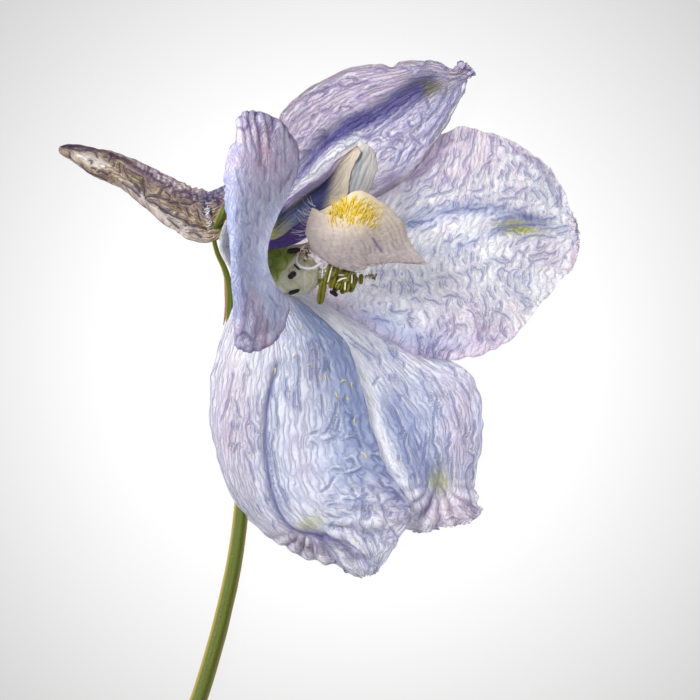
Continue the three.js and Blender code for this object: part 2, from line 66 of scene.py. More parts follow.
# ---------------------------------------------------------------- number fields
def noise(x, y, seed):
    """A smooth random field, about -1 to 1, with features one unit across."""
    xi = np.floor(x).astype(np.int64)
    yi = np.floor(y).astype(np.int64)
    xf = x - xi
    yf = y - yi

    def corner(dx, dy):
        h = ((xi + dx) * 374761393 + (yi + dy) * 668265263 + seed * 1442695041) & 0xFFFFFFFF
        h = ((h ^ (h >> 13)) * 1274126177) & 0xFFFFFFFF
        angle = (h ^ (h >> 16)) * (2 * np.pi / 2**32)
        return np.cos(angle) * (xf - dx) + np.sin(angle) * (yf - dy)

    sx = xf**3 * (xf * (xf * 6 - 15) + 10)
    sy = yf**3 * (yf * (yf * 6 - 15) + 10)
    low = corner(0, 0) * (1 - sx) + corner(1, 0) * sx
    high = corner(0, 1) * (1 - sx) + corner(1, 1) * sx
    return 1.5 * (low * (1 - sy) + high * sy)


def ramp(x, start, end):
    """0 before start, 1 after end, smooth in between."""
    t = np.clip((x - start) / (end - start), 0, 1)
    return t * t * (3 - 2 * t)


def blob(x, y, at, size, turn=0.0):
    """A soft spot: 1 at its middle, with the half widths given, turned by an angle in degrees."""
    c = math.cos(math.radians(turn))
    s = math.sin(math.radians(turn))
    dx = x - at[0]
    dy = y - at[1]
    return np.exp(-(((dx * c + dy * s) / size[0]) ** 2 + ((dy * c - dx * s) / size[1]) ** 2))


def blobs(x, y, *rows):
    """The sum of soft spots, each given as its strength, middle, half widths and turn."""
    return sum(strength * blob(x, y, at, size, turn) for strength, at, size, turn in rows)


def near_line(x, y, points, width):
    """1 on a smooth line through the points, falling off over the given width on both sides."""
    path = catmull(points, np.linspace(0, 1, 8 * len(points)))
    best = np.full(x.shape, 1e9)
    for (ax, ay), (bx, by) in zip(path[:-1, :2], path[1:, :2]):
        length = max((bx - ax) ** 2 + (by - ay) ** 2, 1e-9)
        t = np.clip(((x - ax) * (bx - ax) + (y - ay) * (by - ay)) / length, 0, 1)
        best = np.minimum(best, np.hypot(x - ax - t * (bx - ax), y - ay - t * (by - ay)))
    return np.exp(-((best / width) ** 2))


def catmull(points, t):
    """Points on the smooth curve through the given points; t runs from 0 to 1."""
    p = np.asarray(points, float)
    count = len(p) - 1
    p = np.vstack([2 * p[0] - p[1], p, 2 * p[-1] - p[-2]])
    x = np.clip(t, 0, 1) * count
    i = np.minimum(x.astype(int), count - 1)
    w = (x - i)[..., None]
    a, b, c, d = p[i], p[i + 1], p[i + 2], p[i + 3]
    return (
        (2 * w**3 - 3 * w**2 + 1) * b + (w**3 - 2 * w**2 + w) * (c - a) / 2
        + (3 * w**2 - 2 * w**3) * c + (w**3 - w**2) * (d - b) / 2
    )


CREASE_REACH = 0.6  # how far a drawn crease is felt on both sides
CREASE_FADE = 0.3  # the length over which it fades at its ends
NO_CREASE = 9.0  # the distance that is given where no crease is near


def drawn_creases(x, y, text, wander=0.12):
    """The creases drawn in text, one a line as x y pairs in mm: how far each place is from the nearest
    one, with a sign for the side it is on, and how strong that crease is there."""
    bx = x + wander * (noise(x * 1.7, y * 1.7, 301) + 0.5 * noise(x * 4.1, y * 4.1, 303))
    by = y + wander * (noise(x * 1.7, y * 1.7, 305) + 0.5 * noise(x * 4.1, y * 4.1, 307))
    nearest = np.full(x.shape, NO_CREASE)
    signed = np.full(x.shape, NO_CREASE)
    strength = np.zeros(x.shape)
    for row in text.strip().splitlines():
        points = np.array(row.split(), float).reshape(-1, 2)
        path = catmull(points, np.linspace(0, 1, 4 * len(points)))
        reach = np.concatenate([[0], np.cumsum(np.hypot(*np.diff(path, axis=0).T))])
        low, high = path.min(0) - 1, path.max(0) + 1
        close = (bx > low[0]) & (bx < high[0]) & (by > low[1]) & (by < high[1])
        px, py = bx[close], by[close]
        best, side, power = nearest[close], signed[close], strength[close]
        for k in range(len(path) - 1):
            ax, ay = path[k]
            dx, dy = path[k + 1] - path[k]
            part = np.clip(((px - ax) * dx + (py - ay) * dy) / (dx * dx + dy * dy + 1e-9), 0, 1)
            gap = np.hypot(px - ax - part * dx, py - ay - part * dy)
            along = reach[k] + part * (reach[k + 1] - reach[k])
            to_end = np.minimum(along, reach[-1] - along)
            closer = gap < best
            best = np.where(closer, gap, best)
            side = np.where(closer, gap * np.sign(dx * (py - ay) - dy * (px - ax)), side)
            power = np.where(closer, ramp(to_end, -0.12, CREASE_FADE), power)
        nearest[close], signed[close], strength[close] = best, side, power
    return np.stack([signed, strength * np.exp(-((nearest / CREASE_REACH) ** 4)), 0 * x], -1)


# ---------------------------------------------------------------- meshes
def make_mesh(name, points, faces, fields):
    """A smooth-shaded piece from points in millimetres, with named number fields on its points."""
    mesh = bpy.data.meshes.new(name)
    points = np.asarray(points, np.float32) * MM
    faces = np.asarray(faces, np.int32)
    sides = faces.shape[1]
    mesh.vertices.add(len(points))
    mesh.vertices.foreach_set("co", points.ravel())
    mesh.loops.add(faces.size)
    mesh.loops.foreach_set("vertex_index", faces.ravel())
    mesh.polygons.add(len(faces))
    mesh.polygons.foreach_set("loop_start", np.arange(0, faces.size, sides, dtype=np.int32))
    mesh.polygons.foreach_set("use_smooth", np.ones(len(faces), bool))
    mesh.update(calc_edges=True)
    for key, values in fields.items():
        values = np.asarray(values, np.float32)
        if values.ndim == 2:
            mesh.attributes.new(key, "FLOAT_VECTOR", "POINT").data.foreach_set("vector", values.ravel())
        else:
            mesh.attributes.new(key, "FLOAT", "POINT").data.foreach_set("value", values)
    mesh.validate()
    piece = bpy.data.objects.new(name, mesh)
    bpy.context.scene.collection.objects.link(piece)
    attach(piece, "root")
    return piece


def finish_piece(piece, material, node):
    piece.data.materials.append(material)
    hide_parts(node)


def sheet_normals(grid):
    """The unit normals of a grid of points."""
    down = np.gradient(grid, axis=0)
    over = np.gradient(grid, axis=1)
    n = np.cross(over, down)
    return n / np.maximum(np.linalg.norm(n, axis=2, keepdims=True), 1e-9)


def slab(name, grid, fields, thick, facing):
    """A closed thin blade from a grid of middle points: its face, its back and the rim between them.
    facing is 1 where the grid's own normal looks at the viewer, and -1 where its back does."""
    rows, columns = grid.shape[:2]
    normal = sheet_normals(grid) * facing
    v = np.abs(np.linspace(-1, 1, columns))[None, :]
    u = np.linspace(0, 1, rows)[:, None]
    half = thick / 2 * (1 - RIM_THINNING * v**14) * (1 - RIM_THINNING * u**30)
    face = grid + normal * half[..., None]
    back = grid - normal * half[..., None]
    points = np.vstack([face.reshape(-1, 3), back.reshape(-1, 3)])
    points[:, 2] = np.maximum(points[:, 2], TABLE_CLEARANCE)
    n = rows * columns
    i = np.arange(rows - 1)[:, None] * columns + np.arange(columns - 1)[None, :]
    quads = np.stack([i, i + 1, i + columns + 1, i + columns], -1).reshape(-1, 4)
    rim = np.concatenate([
        np.arange(columns - 1), np.arange(rows - 1) * columns + columns - 1,
        (rows - 1) * columns + np.arange(columns - 1, 0, -1), np.arange(rows - 1, 0, -1) * columns,
    ])
    after = np.roll(rim, -1)
    edge = np.stack([rim, rim + n, after + n, after], -1)
    faces = np.vstack([quads, quads[:, ::-1] + n, edge])
    if facing > 0:
        faces = faces[:, ::-1]
    both = {k: np.concatenate([f.reshape(n, -1)] * 2).squeeze() for k, f in fields.items()}
    return make_mesh(name, points, faces, both)


def ring_point(forward, radius, bearing):
    """A point at a bearing in degrees on a ring round the floral axis, forward of the receptacle."""
    a = math.radians(bearing)
    out = radius * (math.cos(a) * RING_UP + math.sin(a) * RING_SIDE)
    return list(RING_CENTRE + forward * FLORAL_AXIS + out)


def foot_station(forward, radius, bearing, half_width):
    """The first station of a blade, on its ring: left, middle and right point."""
    turn = math.degrees(half_width / radius)
    return [ring_point(forward, radius, b) for b in (bearing + turn, bearing, bearing - turn)]


def sheet(stations, rows, columns):
    """Middle points of a blade from its stations, with the u (foot to tip) and v (-1 to 1 across) of each."""
    u = np.linspace(0, 1, rows)
    v = np.linspace(-1, 1, columns)
    left, middle, right = (catmull([s[k] for s in stations], u)[:, None, :] for k in range(3))
    w = v[None, :, None]
    grid = left * (w * (w - 1) / 2) + middle * (1 - w**2) + right * (w * (w + 1) / 2)
    return grid, *np.meshgrid(u, v, indexing="ij")


def shifted_margin(grid, v, amount):
    """Moves the blade's margins in or out across the blade by amount, most at the margin itself."""
    across = np.gradient(grid, axis=1)
    across /= np.maximum(np.linalg.norm(across, axis=2, keepdims=True), 1e-9)
    return grid + across * (np.sign(v) * np.abs(v) ** 6 * amount)[..., None]


def rod(rings, sides, steps, swell=None):
    """A closed rod through rings of [centre, half width, half height]; swell(t, a) scales its section.
    Returns its points, triangles, and the place along it and around it of each point."""
    t = np.linspace(0, 1, steps + 1)
    centre = catmull([r[0] for r in rings], t)
    size = catmull([[r[1], r[2] if len(r) > 2 else r[1]] for r in rings], t)
    ahead = np.gradient(centre, axis=0)
    ahead /= np.linalg.norm(ahead, axis=1, keepdims=True)
    side = np.cross([0.0, 0.0, 1.0], ahead)
    for k in range(len(side)):
        upright = np.linalg.norm(side[k]) < 0.2
        if upright:
            side[k] = side[k - 1] if k else [1.0, 0.0, 0.0]
    side /= np.linalg.norm(side, axis=1, keepdims=True)
    up = np.cross(ahead, side)
    a = np.linspace(0, 2 * np.pi, sides, endpoint=False)
    tt, aa = np.meshgrid(t, a, indexing="ij")
    scale = np.ones_like(tt) if swell is None else swell(tt, aa)
    points = (
        centre[:, None] + side[:, None] * (size[:, None, :1] * (scale * np.cos(aa))[..., None])
        + up[:, None] * (size[:, None, 1:] * (scale * np.sin(aa))[..., None])
    ).reshape(-1, 3)
    points = np.vstack([points, centre[:1], centre[-1:]])
    points[:, 2] = np.maximum(points[:, 2], TABLE_CLEARANCE)
    i = np.arange(steps)[:, None] * sides
    k = np.arange(sides)[None, :]
    k2 = (k + 1) % sides
    quads = np.stack([i + k, i + k2, i + k2 + sides, i + k + sides], -1).reshape(-1, 4)
    k = k.ravel()
    k2 = k2.ravel()
    first = np.full(sides, len(points) - 2)
    last = steps * sides
    faces = np.vstack([
        quads[:, [0, 1, 2]], quads[:, [0, 2, 3]], np.stack([first, k2, k], -1),
        np.stack([first + 1, last + k, last + k2], -1),
    ])
    ends = [[tt[0, 0], aa[0, 0]], [tt[-1, 0], aa[-1, 0]]]
    return points, faces, np.vstack([np.stack([tt.ravel(), aa.ravel()], -1), ends])


def rods(name, parts, fields):
    """One piece made of several rods. fields(t, a, points) gives its number fields."""
    points = np.vstack([p[0] for p in parts])
    start = np.cumsum([0] + [len(p[0]) for p in parts[:-1]])
    faces = np.vstack([p[1] + s for p, s in zip(parts, start)])
    t, a = np.vstack([p[2] for p in parts]).T
    made = {"sheet": np.stack([5 * t, a, 0 * t], -1)}
    made.update(fields(t, a, points))
    return make_mesh(name, points, faces, made)


def tube(name, rings, sides, steps, swell, fields):
    return rods(name, [rod(rings, sides, steps, swell)], fields)


def lengthwise(t, a, points):
    """The tone field of a rod that changes from one end to the other."""
    return {"tone": t}


def strands(name, paths, width, material, node):
    """Many fine tapering hairs: paths is hairs x points x 3, width the half width at their feet."""
    hairs, count, _ = paths.shape
    ahead = np.gradient(paths, axis=1)
    ahead /= np.maximum(np.linalg.norm(ahead, axis=2, keepdims=True), 1e-9)
    side = np.cross(ahead, [0.31, 0.17, 0.93])
    side /= np.linalg.norm(side, axis=2, keepdims=True)
    up = np.cross(ahead, side)
    taper = (width * (1 - 0.75 * np.linspace(0, 1, count) ** 2))[None, :, None, None]
    a = np.array([0, 2 * np.pi / 3, 4 * np.pi / 3])[None, None, :, None]
    points = paths[:, :, None] + taper * (side[:, :, None] * np.cos(a) + up[:, :, None] * np.sin(a))
    j = np.arange(count - 1) * 3
    faces = []
    for k in range(3):
        k2 = (k + 1) % 3
        faces.append(np.stack([j + k, j + k2, j + 3 + k2, j + 3 + k], -1))
    quads = np.vstack(faces)[None] + (np.arange(hairs) * count * 3)[:, None, None]
    along = np.broadcast_to(np.linspace(0, 1, count)[None, :, None], (hairs, count, 3)).ravel()
    points = points.reshape(-1, 3)
    piece = make_mesh(name, points, quads.reshape(-1, 4), {"tone": along, "sheet": points})
    finish_piece(piece, material, node)


def curved_hairs(foot, tip, bow):
    """Paths of hairs from foot to tip (arrays of points), bent by bow at their middles."""
    s = np.linspace(0, 1, 6)[None, :, None]
    return foot[:, None] * (1 - s) + tip[:, None] * s + 4 * s * (1 - s) * bow[:, None]


# ---------------------------------------------------------------- materials
def add(tree, kind, inputs=None, **settings):
    node = tree.nodes.new(kind)
    for key, value in settings.items():
        setattr(node, key, value)
    for key, value in (inputs or {}).items():
        if isinstance(value, bpy.types.NodeSocket):
            tree.links.new(value, node.inputs[key])
        else:
            node.inputs[key].default_value = value
    return node


def field(tree, name, output="Fac"):
    return add(tree, "ShaderNodeAttribute", attribute_name=name, attribute_type="GEOMETRY").outputs[output]


def blend(tree, amount, first, second):
    """The first colour or value turned into the second by amount."""
    node = add(tree, "ShaderNodeMix", data_type="RGBA")
    for socket, value in zip((node.inputs[0], node.inputs[6], node.inputs[7]), (amount, first, second)):
        if isinstance(value, bpy.types.NodeSocket):
            tree.links.new(value, socket)
        else:
            socket.default_value = value
    return node.outputs[2]


def srgb(red, green, blue):
    """A colour as the eye picks it, 0 to 255, made linear."""
    c = np.array([red, green, blue]) / 255
    linear = np.where(c <= 0.04045, c / 12.92, ((c + 0.055) / 1.055) ** 2.4)
    return (*linear.tolist(), 1.0)


def stretched(tree, place, scale):
    return add(tree, "ShaderNodeMapping", {"Vector": place, "Scale": scale}).outputs[0]


def clouds(tree, place, scale, detail, output="Fac"):
    """Soft noise over a piece, with features of 1 / scale."""
    node = add(tree, "ShaderNodeTexNoise", {"Vector": place, "Scale": scale, "Detail": detail})
    return node.outputs[output]


def spread(tree, value, low, high, to_low=0.0, to_high=1.0):
    return add(tree, "ShaderNodeMapRange", {
        "Value": value, "From Min": low, "From Max": high, "To Min": to_low, "To Max": to_high,
    }).outputs[0]


def maths(tree, operation, *values):
    return add(tree, "ShaderNodeMath", dict(enumerate(values)), operation=operation).outputs[0]


def times(tree, first, second):
    return maths(tree, "MULTIPLY", first, second)


def new_material(name):
    material = bpy.data.materials.new(name)
    material.use_nodes = True
    material.node_tree.nodes.clear()
    return material, material.node_tree


def crinkles(tree, flow, across, along, seed, warp=0.45, width=0.12):
    """The creases of a crumpled sheet and the puffs between them: cells of a size across and along the
    flow field, in mm, with their borders bent by up to warp mm."""
    place = add(tree, "ShaderNodeMapping", {"Vector": flow, "Location": (seed, 1.7 * seed, 0.0)}).outputs[0]
    drift = clouds(tree, place, 0.9, 2.0, "Color")
    drift = add(tree, "ShaderNodeVectorMath", {0: drift, 1: (0.5, 0.5, 0.5)}, operation="SUBTRACT").outputs[0]
    moved = add(tree, "ShaderNodeVectorMath", {0: drift, 1: (3 * warp, 3 * warp, 0.0), 2: place},
                operation="MULTIPLY_ADD").outputs[0]
    sized = stretched(tree, moved, (1 / across, 1 / along, 1.0))
    cell = add(tree, "ShaderNodeTexVoronoi", {"Vector": sized, "Scale": 1.0, "Randomness": 0.9},
               voronoi_dimensions="2D", feature="DISTANCE_TO_EDGE").outputs["Distance"]
    return spread(tree, cell, 0.0, width, 1.0, 0.0), spread(tree, cell, 0.0, 0.32)


def thin_tissue(tree, colour, height, through, roughness, bump):
    """The shader of living tissue: part of the light is scattered back and part goes through. The part
    that goes through passes the blade's face and its back, so it takes the colour's square root. height
    is pressed into the surface up to bump mm deep."""
    push = add(tree, "ShaderNodeBump", {"Height": height, "Strength": 1.0, "Distance": bump * MM})
    back = add(tree, "ShaderNodeBsdfPrincipled", {
        "Base Color": colour, "Roughness": roughness, "Normal": push.outputs[0], "Specular IOR Level": 0.4,
    })
    half = add(tree, "ShaderNodeGamma", {"Color": colour, "Gamma": 0.5})
    front = add(tree, "ShaderNodeBsdfTranslucent", {"Color": half.outputs[0], "Normal": push.outputs[0]})
    both = add(tree, "ShaderNodeMixShader", {0: through, 1: back.outputs[0], 2: front.outputs[0]})
    add(tree, "ShaderNodeOutputMaterial", {"Surface": both.outputs[0]})


SEPAL_ROUGHNESS = 0.42
# The section of a drawn crease, in mm away from its line: its dark stroke, its valley, the painted shade
# beside it and the painted highlight along one side.
VALLEY_HALF = 0.42
HALO_START, HALO_END = 0.05, 0.55
RIDGE_AWAY, RIDGE_START, RIDGE_END = 0.36, 0.02, 0.2
STROKE_FINE, STROKE_BROAD = 0.09, 0.2


def drawn_relief(tree, fine_puff):
    """What the fold field gives: the dark stroke of each drawn crease, which is partly its own colour and
    partly painted shade, its valley in the relief, the painted shade beside it, and the ridge along one side,
    which is raised in the relief and painted as a highlight."""
    drawn = add(tree, "ShaderNodeSeparateXYZ", {0: field(tree, "fold", "Vector")}).outputs
    apart = maths(tree, "ABSOLUTE", drawn[0])
    broad = spread(tree, fine_puff, 0.3, 0.7, STROKE_FINE, STROKE_BROAD)
    stroke = spread(tree, maths(tree, "DIVIDE", apart, broad), 0.25, 1.0, 1.0, 0.0)
    valley = spread(tree, apart, 0.0, VALLEY_HALF, 0.95, 0.0)
    # painted shade beside the crease
    painted_halo_shade = spread(tree, apart, HALO_START, HALO_END, 0.34, 0.0)
    from_ridge = maths(tree, "ABSOLUTE", maths(tree, "SUBTRACT", drawn[0], RIDGE_AWAY))
    # the ridge: raised in the relief, and painted as a highlight in the colour
    ridge = spread(tree, from_ridge, RIDGE_START, RIDGE_END, 0.7, 0.0)
    return [times(tree, part, drawn[1]) for part in (stroke, valley, painted_halo_shade, ridge)]


def sepal_material(name, light, mid, crease, deep, warm, spot, through, lines, net, seed, bump, ink,
                   mauve_crease=(122, 98, 142)):
    """Crinkled sepal tissue. The piece's fields say how its creases run (flow), where they make a net (net),
    how strong they are (line), and where it is dark, blue, mauve, white or spotted; the dark, blue and white
    fields hold painted shade and painted highlights as well as the tissue's own colour. The creases are
    painted partly in their own darker colour and partly as shade, the puffs between them are painted lighter
    towards their middles as highlights, and beside each drawn crease there is painted shade and a painted
    highlight. lines and net are the sizes of the fine creases across and along, and ink is how strongly the
    drawn ones are coloured."""
    material, tree = new_material(name)
    light, mid, crease, deep, warm, spot, mauve_crease = (
        srgb(*c) for c in (light, mid, crease, deep, warm, spot, mauve_crease))
    flow = field(tree, "flow", "Vector")
    long_line, long_puff = crinkles(tree, flow, *lines, seed + 3.1)
    net_line, net_puff = crinkles(tree, flow, *net, seed + 17.9, 0.6, 0.085)
    fine_puff = clouds(tree, stretched(tree, flow, (1.6, 0.9, 1.0)), 1.0, 2.0)
    fine_line = spread(tree, fine_puff, 0.3, 0.45, 1.0, 0.0)
    grit = clouds(tree, flow, 4.5, 1.0)
    patchy = clouds(tree, flow, 0.55, 2.0)
    tint = clouds(tree, stretched(tree, flow, (0.35, 0.09, 1.0)), 1.0, 2.0)
    netted = field(tree, "net")
    line = times(tree, blend(tree, netted, long_line, net_line), spread(tree, patchy, 0.36, 0.56, 0.3, 1.0))
    # the puffs between the creases: raised in the relief, and painted lighter towards their middles as
    # highlights
    puff_and_highlight = blend(tree, netted, long_puff, net_puff)
    strength = field(tree, "line")
    stroke, valley, painted_halo_shade, ridge = drawn_relief(tree, fine_puff)
    relief = blend(tree, spread(tree, strength, 0.0, 0.4, 0.15, 1.0), (0.5, 0.5, 0.5, 1.0), puff_and_highlight)
    relief = blend(tree, valley, relief, (0.0, 0.0, 0.0, 1.0))
    relief = blend(tree, ridge, relief, (1.0, 1.0, 1.0, 1.0))
    height = blend(tree, 0.14, blend(tree, 0.22, relief, fine_puff), grit)
    # the deep field's blue, partly colour and partly painted shade, laid on more where the relief is low, as
    # painted shade in the hollows
    blue_and_hollow_shade = times(tree, field(tree, "deep"), spread(tree, height, 0.2, 1.0, 1.0, 0.6))
    mauve_part = times(tree, field(tree, "warm"), spread(tree, patchy, 0.35, 0.6, 0.35, 1.0))
    crease_here = blend(tree, spread(tree, field(tree, "warm"), 0.0, 0.5), crease, mauve_crease)
    mid = blend(tree, spread(tree, tint, 0.4, 0.7, 0.0, 0.6), mid, warm)
    # painted highlight: each puff goes from the mid colour to the light one towards its middle
    colour = blend(tree, spread(tree, puff_and_highlight, 0.1, 0.9), mid, light)
    for amount, layer in (
        (blue_and_hollow_shade, deep),
        (mauve_part, warm),
        # painted shade beside each drawn crease
        (times(tree, painted_halo_shade, ink), deep),
        # painted highlight along the ridge beside each drawn crease
        (ridge, light),
        # pale: partly pale tissue and partly painted highlights on the crests of folds and flutes
        (field(tree, "pale"), (0.98, 0.98, 0.98, 1.0)),
        (field(tree, "spot"), spot),
        # the creases: partly their own darker colour and partly painted shade in the folds
        (times(tree, times(tree, fine_line, strength), 0.35), crease),
        (times(tree, line, strength), crease_here),
        (times(tree, stroke, ink), crease_here),
        # dark: partly dark tissue and partly painted shade in grooves, tucks, pleats, valleys and fold
        # troughs
        (field(tree, "dark"), crease_here),
    ):
        colour = blend(tree, amount, colour, layer)
    thin_tissue(tree, colour, height, through, SEPAL_ROUGHNESS, bump)
    return material


def ramp_material(name, stops, through, roughness=(0.45, 0.65), scale=(2.0, 8.0, 1.0), bump=0.05, wash=None):
    """Tissue whose colour follows the tone field through the stops (position, red, green, blue), broken up
    by fine noise. Where there is a wash colour, the wash field lays it on top."""
    material, tree = new_material(name)
    fibres = add(tree, "ShaderNodeTexNoise", {
        "Vector": stretched(tree, field(tree, "sheet", "Vector"), scale), "Scale": 1.0, "Detail": 4.0,
        "Roughness": 0.6,
    }).outputs["Fac"]
    tone = maths(tree, "ADD", spread(tree, fibres, 0.3, 0.7, -0.07, 0.07), field(tree, "tone"))
    stops_node = add(tree, "ShaderNodeValToRGB", {"Fac": tone})
    elements = stops_node.color_ramp.elements
    while len(elements) < len(stops):
        elements.new(0.5)
    for element, (position, *colour) in zip(elements, stops):
        element.position = position
        element.color = srgb(*colour)
    colour = stops_node.outputs[0]
    if wash:
        colour = blend(tree, field(tree, "wash"), colour, srgb(*wash))
    thin_tissue(tree, colour, fibres, through, spread(tree, fibres, 0.3, 0.7, *roughness), bump)
    return material


# ---------------------------------------------------------------- sepals: stations from foot to tip
FAR = [
    foot_station(0, SEPAL_RING, 162, SEPAL_FOOT)[::-1],
    [[-5.6, 20.4, 1.5], [-5.6, 18.0, 1.2], [-6.0, 15.8, 1.3]],
    [[1.4, 23.2, 1.3], [1.6, 17.4, 1.0], [0.0, 12.0, 2.0]],
    [[7.4, 27.2, 1.3], [8.0, 19.2, 1.1], [5.6, 8.8, 2.3]],
    [[12.8, 30.6, 1.3], [13.8, 20.2, 1.3], [12.0, 5.3, 2.1]],
    [[17.0, 32.9, 1.5], [19.2, 20.6, 1.2], [17.2, 4.9, 1.4]],
    [[22.8, 31.2, 0.8], [24.2, 20.8, 0.6], [22.6, 7.1, 0.6]],
    [[27.7, 27.9, 0.5], [28.0, 20.6, 0.2], [27.1, 12.1, 0.3]],
    [[29.9, 23.4, 0.4], [30.3, 20.3, 0.2], [30.5, 16.2, 0.3]],
    [[30.95, 21.1, 0.35], [31.1, 19.8, 0.2], [31.2, 18.4, 0.3]],
]
NEAR = [
    foot_station(0, SEPAL_RING, 18, SEPAL_FOOT),
    [[-7.7, 19.9, 8.6], [-8.6, 17.9, 8.9], [-9.2, 16.4, 8.0]],
    [[-5.5, 21.6, 10.0], [-6.5, 16.9, 10.2], [-4.9, 13.3, 9.4]],
    [[-3.5, 25.0, 12.0], [-6.6, 17.0, 12.8], [-3.7, 11.4, 11.0]],
    [[-2.45, 28.2, 14.0], [-6.9, 17.6, 15.6], [-4.0, 9.6, 12.8]],
    [[-2.9, 30.9, 16.2], [-7.5, 18.2, 18.2], [-4.8, 7.6, 14.8]],
    [[-5.0, 33.4, 18.2], [-8.4, 19.0, 20.6], [-6.2, 6.3, 16.8]],
    [[-7.8, 34.4, 19.6], [-9.3, 20.0, 22.4], [-8.1, 5.7, 18.2]],
    [[-9.1, 34.0, 19.9], [-9.9, 20.6, 23.0], [-9.4, 6.1, 18.6]],
    [[-9.7, 33.1, 19.2], [-10.3, 21.2, 23.2], [-10.05, 7.0, 18.2]],
    [[-9.25, 31.9, 19.6], [-10.6, 22.0, 23.0], [-8.75, 8.4, 19.0]],
    [[-10.55, 29.6, 20.4], [-10.8, 22.4, 22.7], [-9.3, 10.2, 19.6]],
    [[-10.9, 27.2, 21.0], [-11.0, 22.6, 22.4], [-9.2, 13.0, 20.4]],
]
LOWER_NEAR = [
    foot_station(0, SEPAL_RING, -54, SEPAL_FOOT)[::-1],
    [[-11.2, 21.6, 6.6], [-10.4, 19.8, 6.2], [-9.8, 18.4, 5.4]],
    [[-12.1, 19.0, 6.2], [-10.4, 17.8, 5.2], [-8.6, 16.8, 4.2]],
    [[-11.5, 16.8, 5.7], [-9.2, 15.6, 4.6], [-6.6, 14.4, 3.5]],
    [[-9.6, 13.4, 4.9], [-6.6, 12.6, 4.3], [-2.4, 11.9, 3.4]],
    [[-10.7, 10.6, 4.2], [-6.0, 9.8, 4.3], [0.6, 9.4, 3.7]],
    [[-12.3, 6.3, 3.8], [-5.6, 5.9, 4.5], [3.3, 6.6, 3.9]],
    [[-13.2, 1.5, 3.4], [-5.9, 1.4, 4.0], [5.0, 1.6, 3.9]],
    [[-13.2, -3.5, 3.2], [-6.2, -3.8, 3.7], [6.3, -3.5, 3.7]],
    [[-12.0, -8.0, 3.0], [-5.9, -8.8, 3.3], [7.9, -8.2, 3.3]],
    [[-9.8, -12.7, 2.8], [-4.2, -13.0, 2.9], [10.7, -12.3, 2.8]],
    [[-6.0, -16.5, 1.6], [-0.6, -16.2, 1.9], [10.9, -14.2, 2.3]],
    [[-2.1, -18.9, 0.8], [2.6, -18.2, 1.0], [9.4, -16.9, 1.2]],
    [[1.6, -19.9, 0.4], [4.6, -20.2, 0.5], [8.1, -19.0, 0.5]],
    [[3.9, -21.1, 0.3], [5.4, -21.2, 0.28], [7.0, -20.7, 0.3]],
]
LOWER_FAR = [
    foot_station(0, SEPAL_RING, -126, 0.8)[::-1],
    [[-9.4, 15.6, 2.9], [-8.0, 15.4, 1.9], [-7.0, 15.8, 1.1]],
    [[-5.6, 12.6, 2.0], [-4.2, 12.9, 1.5], [-2.8, 13.6, 1.1]],
    [[-1.7, 9.6, 1.6], [0.6, 10.4, 1.3], [2.8, 11.3, 1.1]],
    [[0.2, 5.8, 1.7], [4.6, 6.8, 1.3], [8.4, 8.0, 1.1]],
    [[1.8, 1.2, 1.7], [8.0, 2.2, 1.9], [14.2, 5.5, 1.0]],
    [[3.3, -3.6, 1.6], [11.0, -2.0, 2.4], [18.5, 2.6, 1.3]],
    [[4.8, -7.8, 1.5], [12.8, -6.0, 2.4], [19.5, -3.0, 1.3]],
    [[6.8, -11.2, 1.1], [14.0, -9.6, 1.6], [18.8, -9.0, 0.9]],
    [[8.8, -14.2, 0.6], [14.6, -12.8, 0.9], [18.9, -12.0, 0.7]],
    [[10.8, -15.8, 0.3], [15.0, -14.6, 0.5], [19.4, -13.6, 0.4]],
    [[12.6, -16.0, 0.28], [15.2, -15.3, 0.3], [18.0, -14.9, 0.3]],
]
HOOD = [
    [[-14.6, 24.6, 5.2], [-14.3, 23.3, 5.2], [-13.8, 21.9, 5.0]],
    [[-12.4, 25.3, 5.6], [-11.8, 23.7, 5.2], [-11.2, 22.2, 4.9]],
    [[-10.3, 26.4, 6.3], [-9.5, 24.0, 5.0], [-9.5, 21.85, 4.6]],
    [[-7.6, 28.4, 7.1], [-5.8, 25.0, 4.7], [-4.6, 21.9, 3.0]],
    [[-5.8, 31.2, 8.0], [-2.4, 27.2, 4.6], [1.2, 22.6, 2.6]],
    [[-4.3, 34.7, 8.4], [0.6, 30.2, 4.8], [6.6, 24.2, 2.5]],
    [[-1.8, 37.0, 8.2], [3.7, 33.1, 4.8], [11.2, 27.3, 2.6]],
    [[3.0, 39.5, 7.4], [7.3, 35.4, 4.6], [14.3, 31.6, 2.8]],
    [[8.0, 40.4, 6.2], [10.9, 37.1, 4.2], [16.3, 35.0, 2.6]],
    [[12.8, 40.8, 4.8], [14.1, 38.3, 3.6], [17.4, 37.2, 2.4]],
    [[15.9, 39.8, 3.7], [16.6, 39.1, 3.0], [17.75, 38.6, 2.2]],
    [[16.8, 40.8, 3.6], [18.0, 40.1, 3.0], [18.75, 39.05, 2.3]],
]


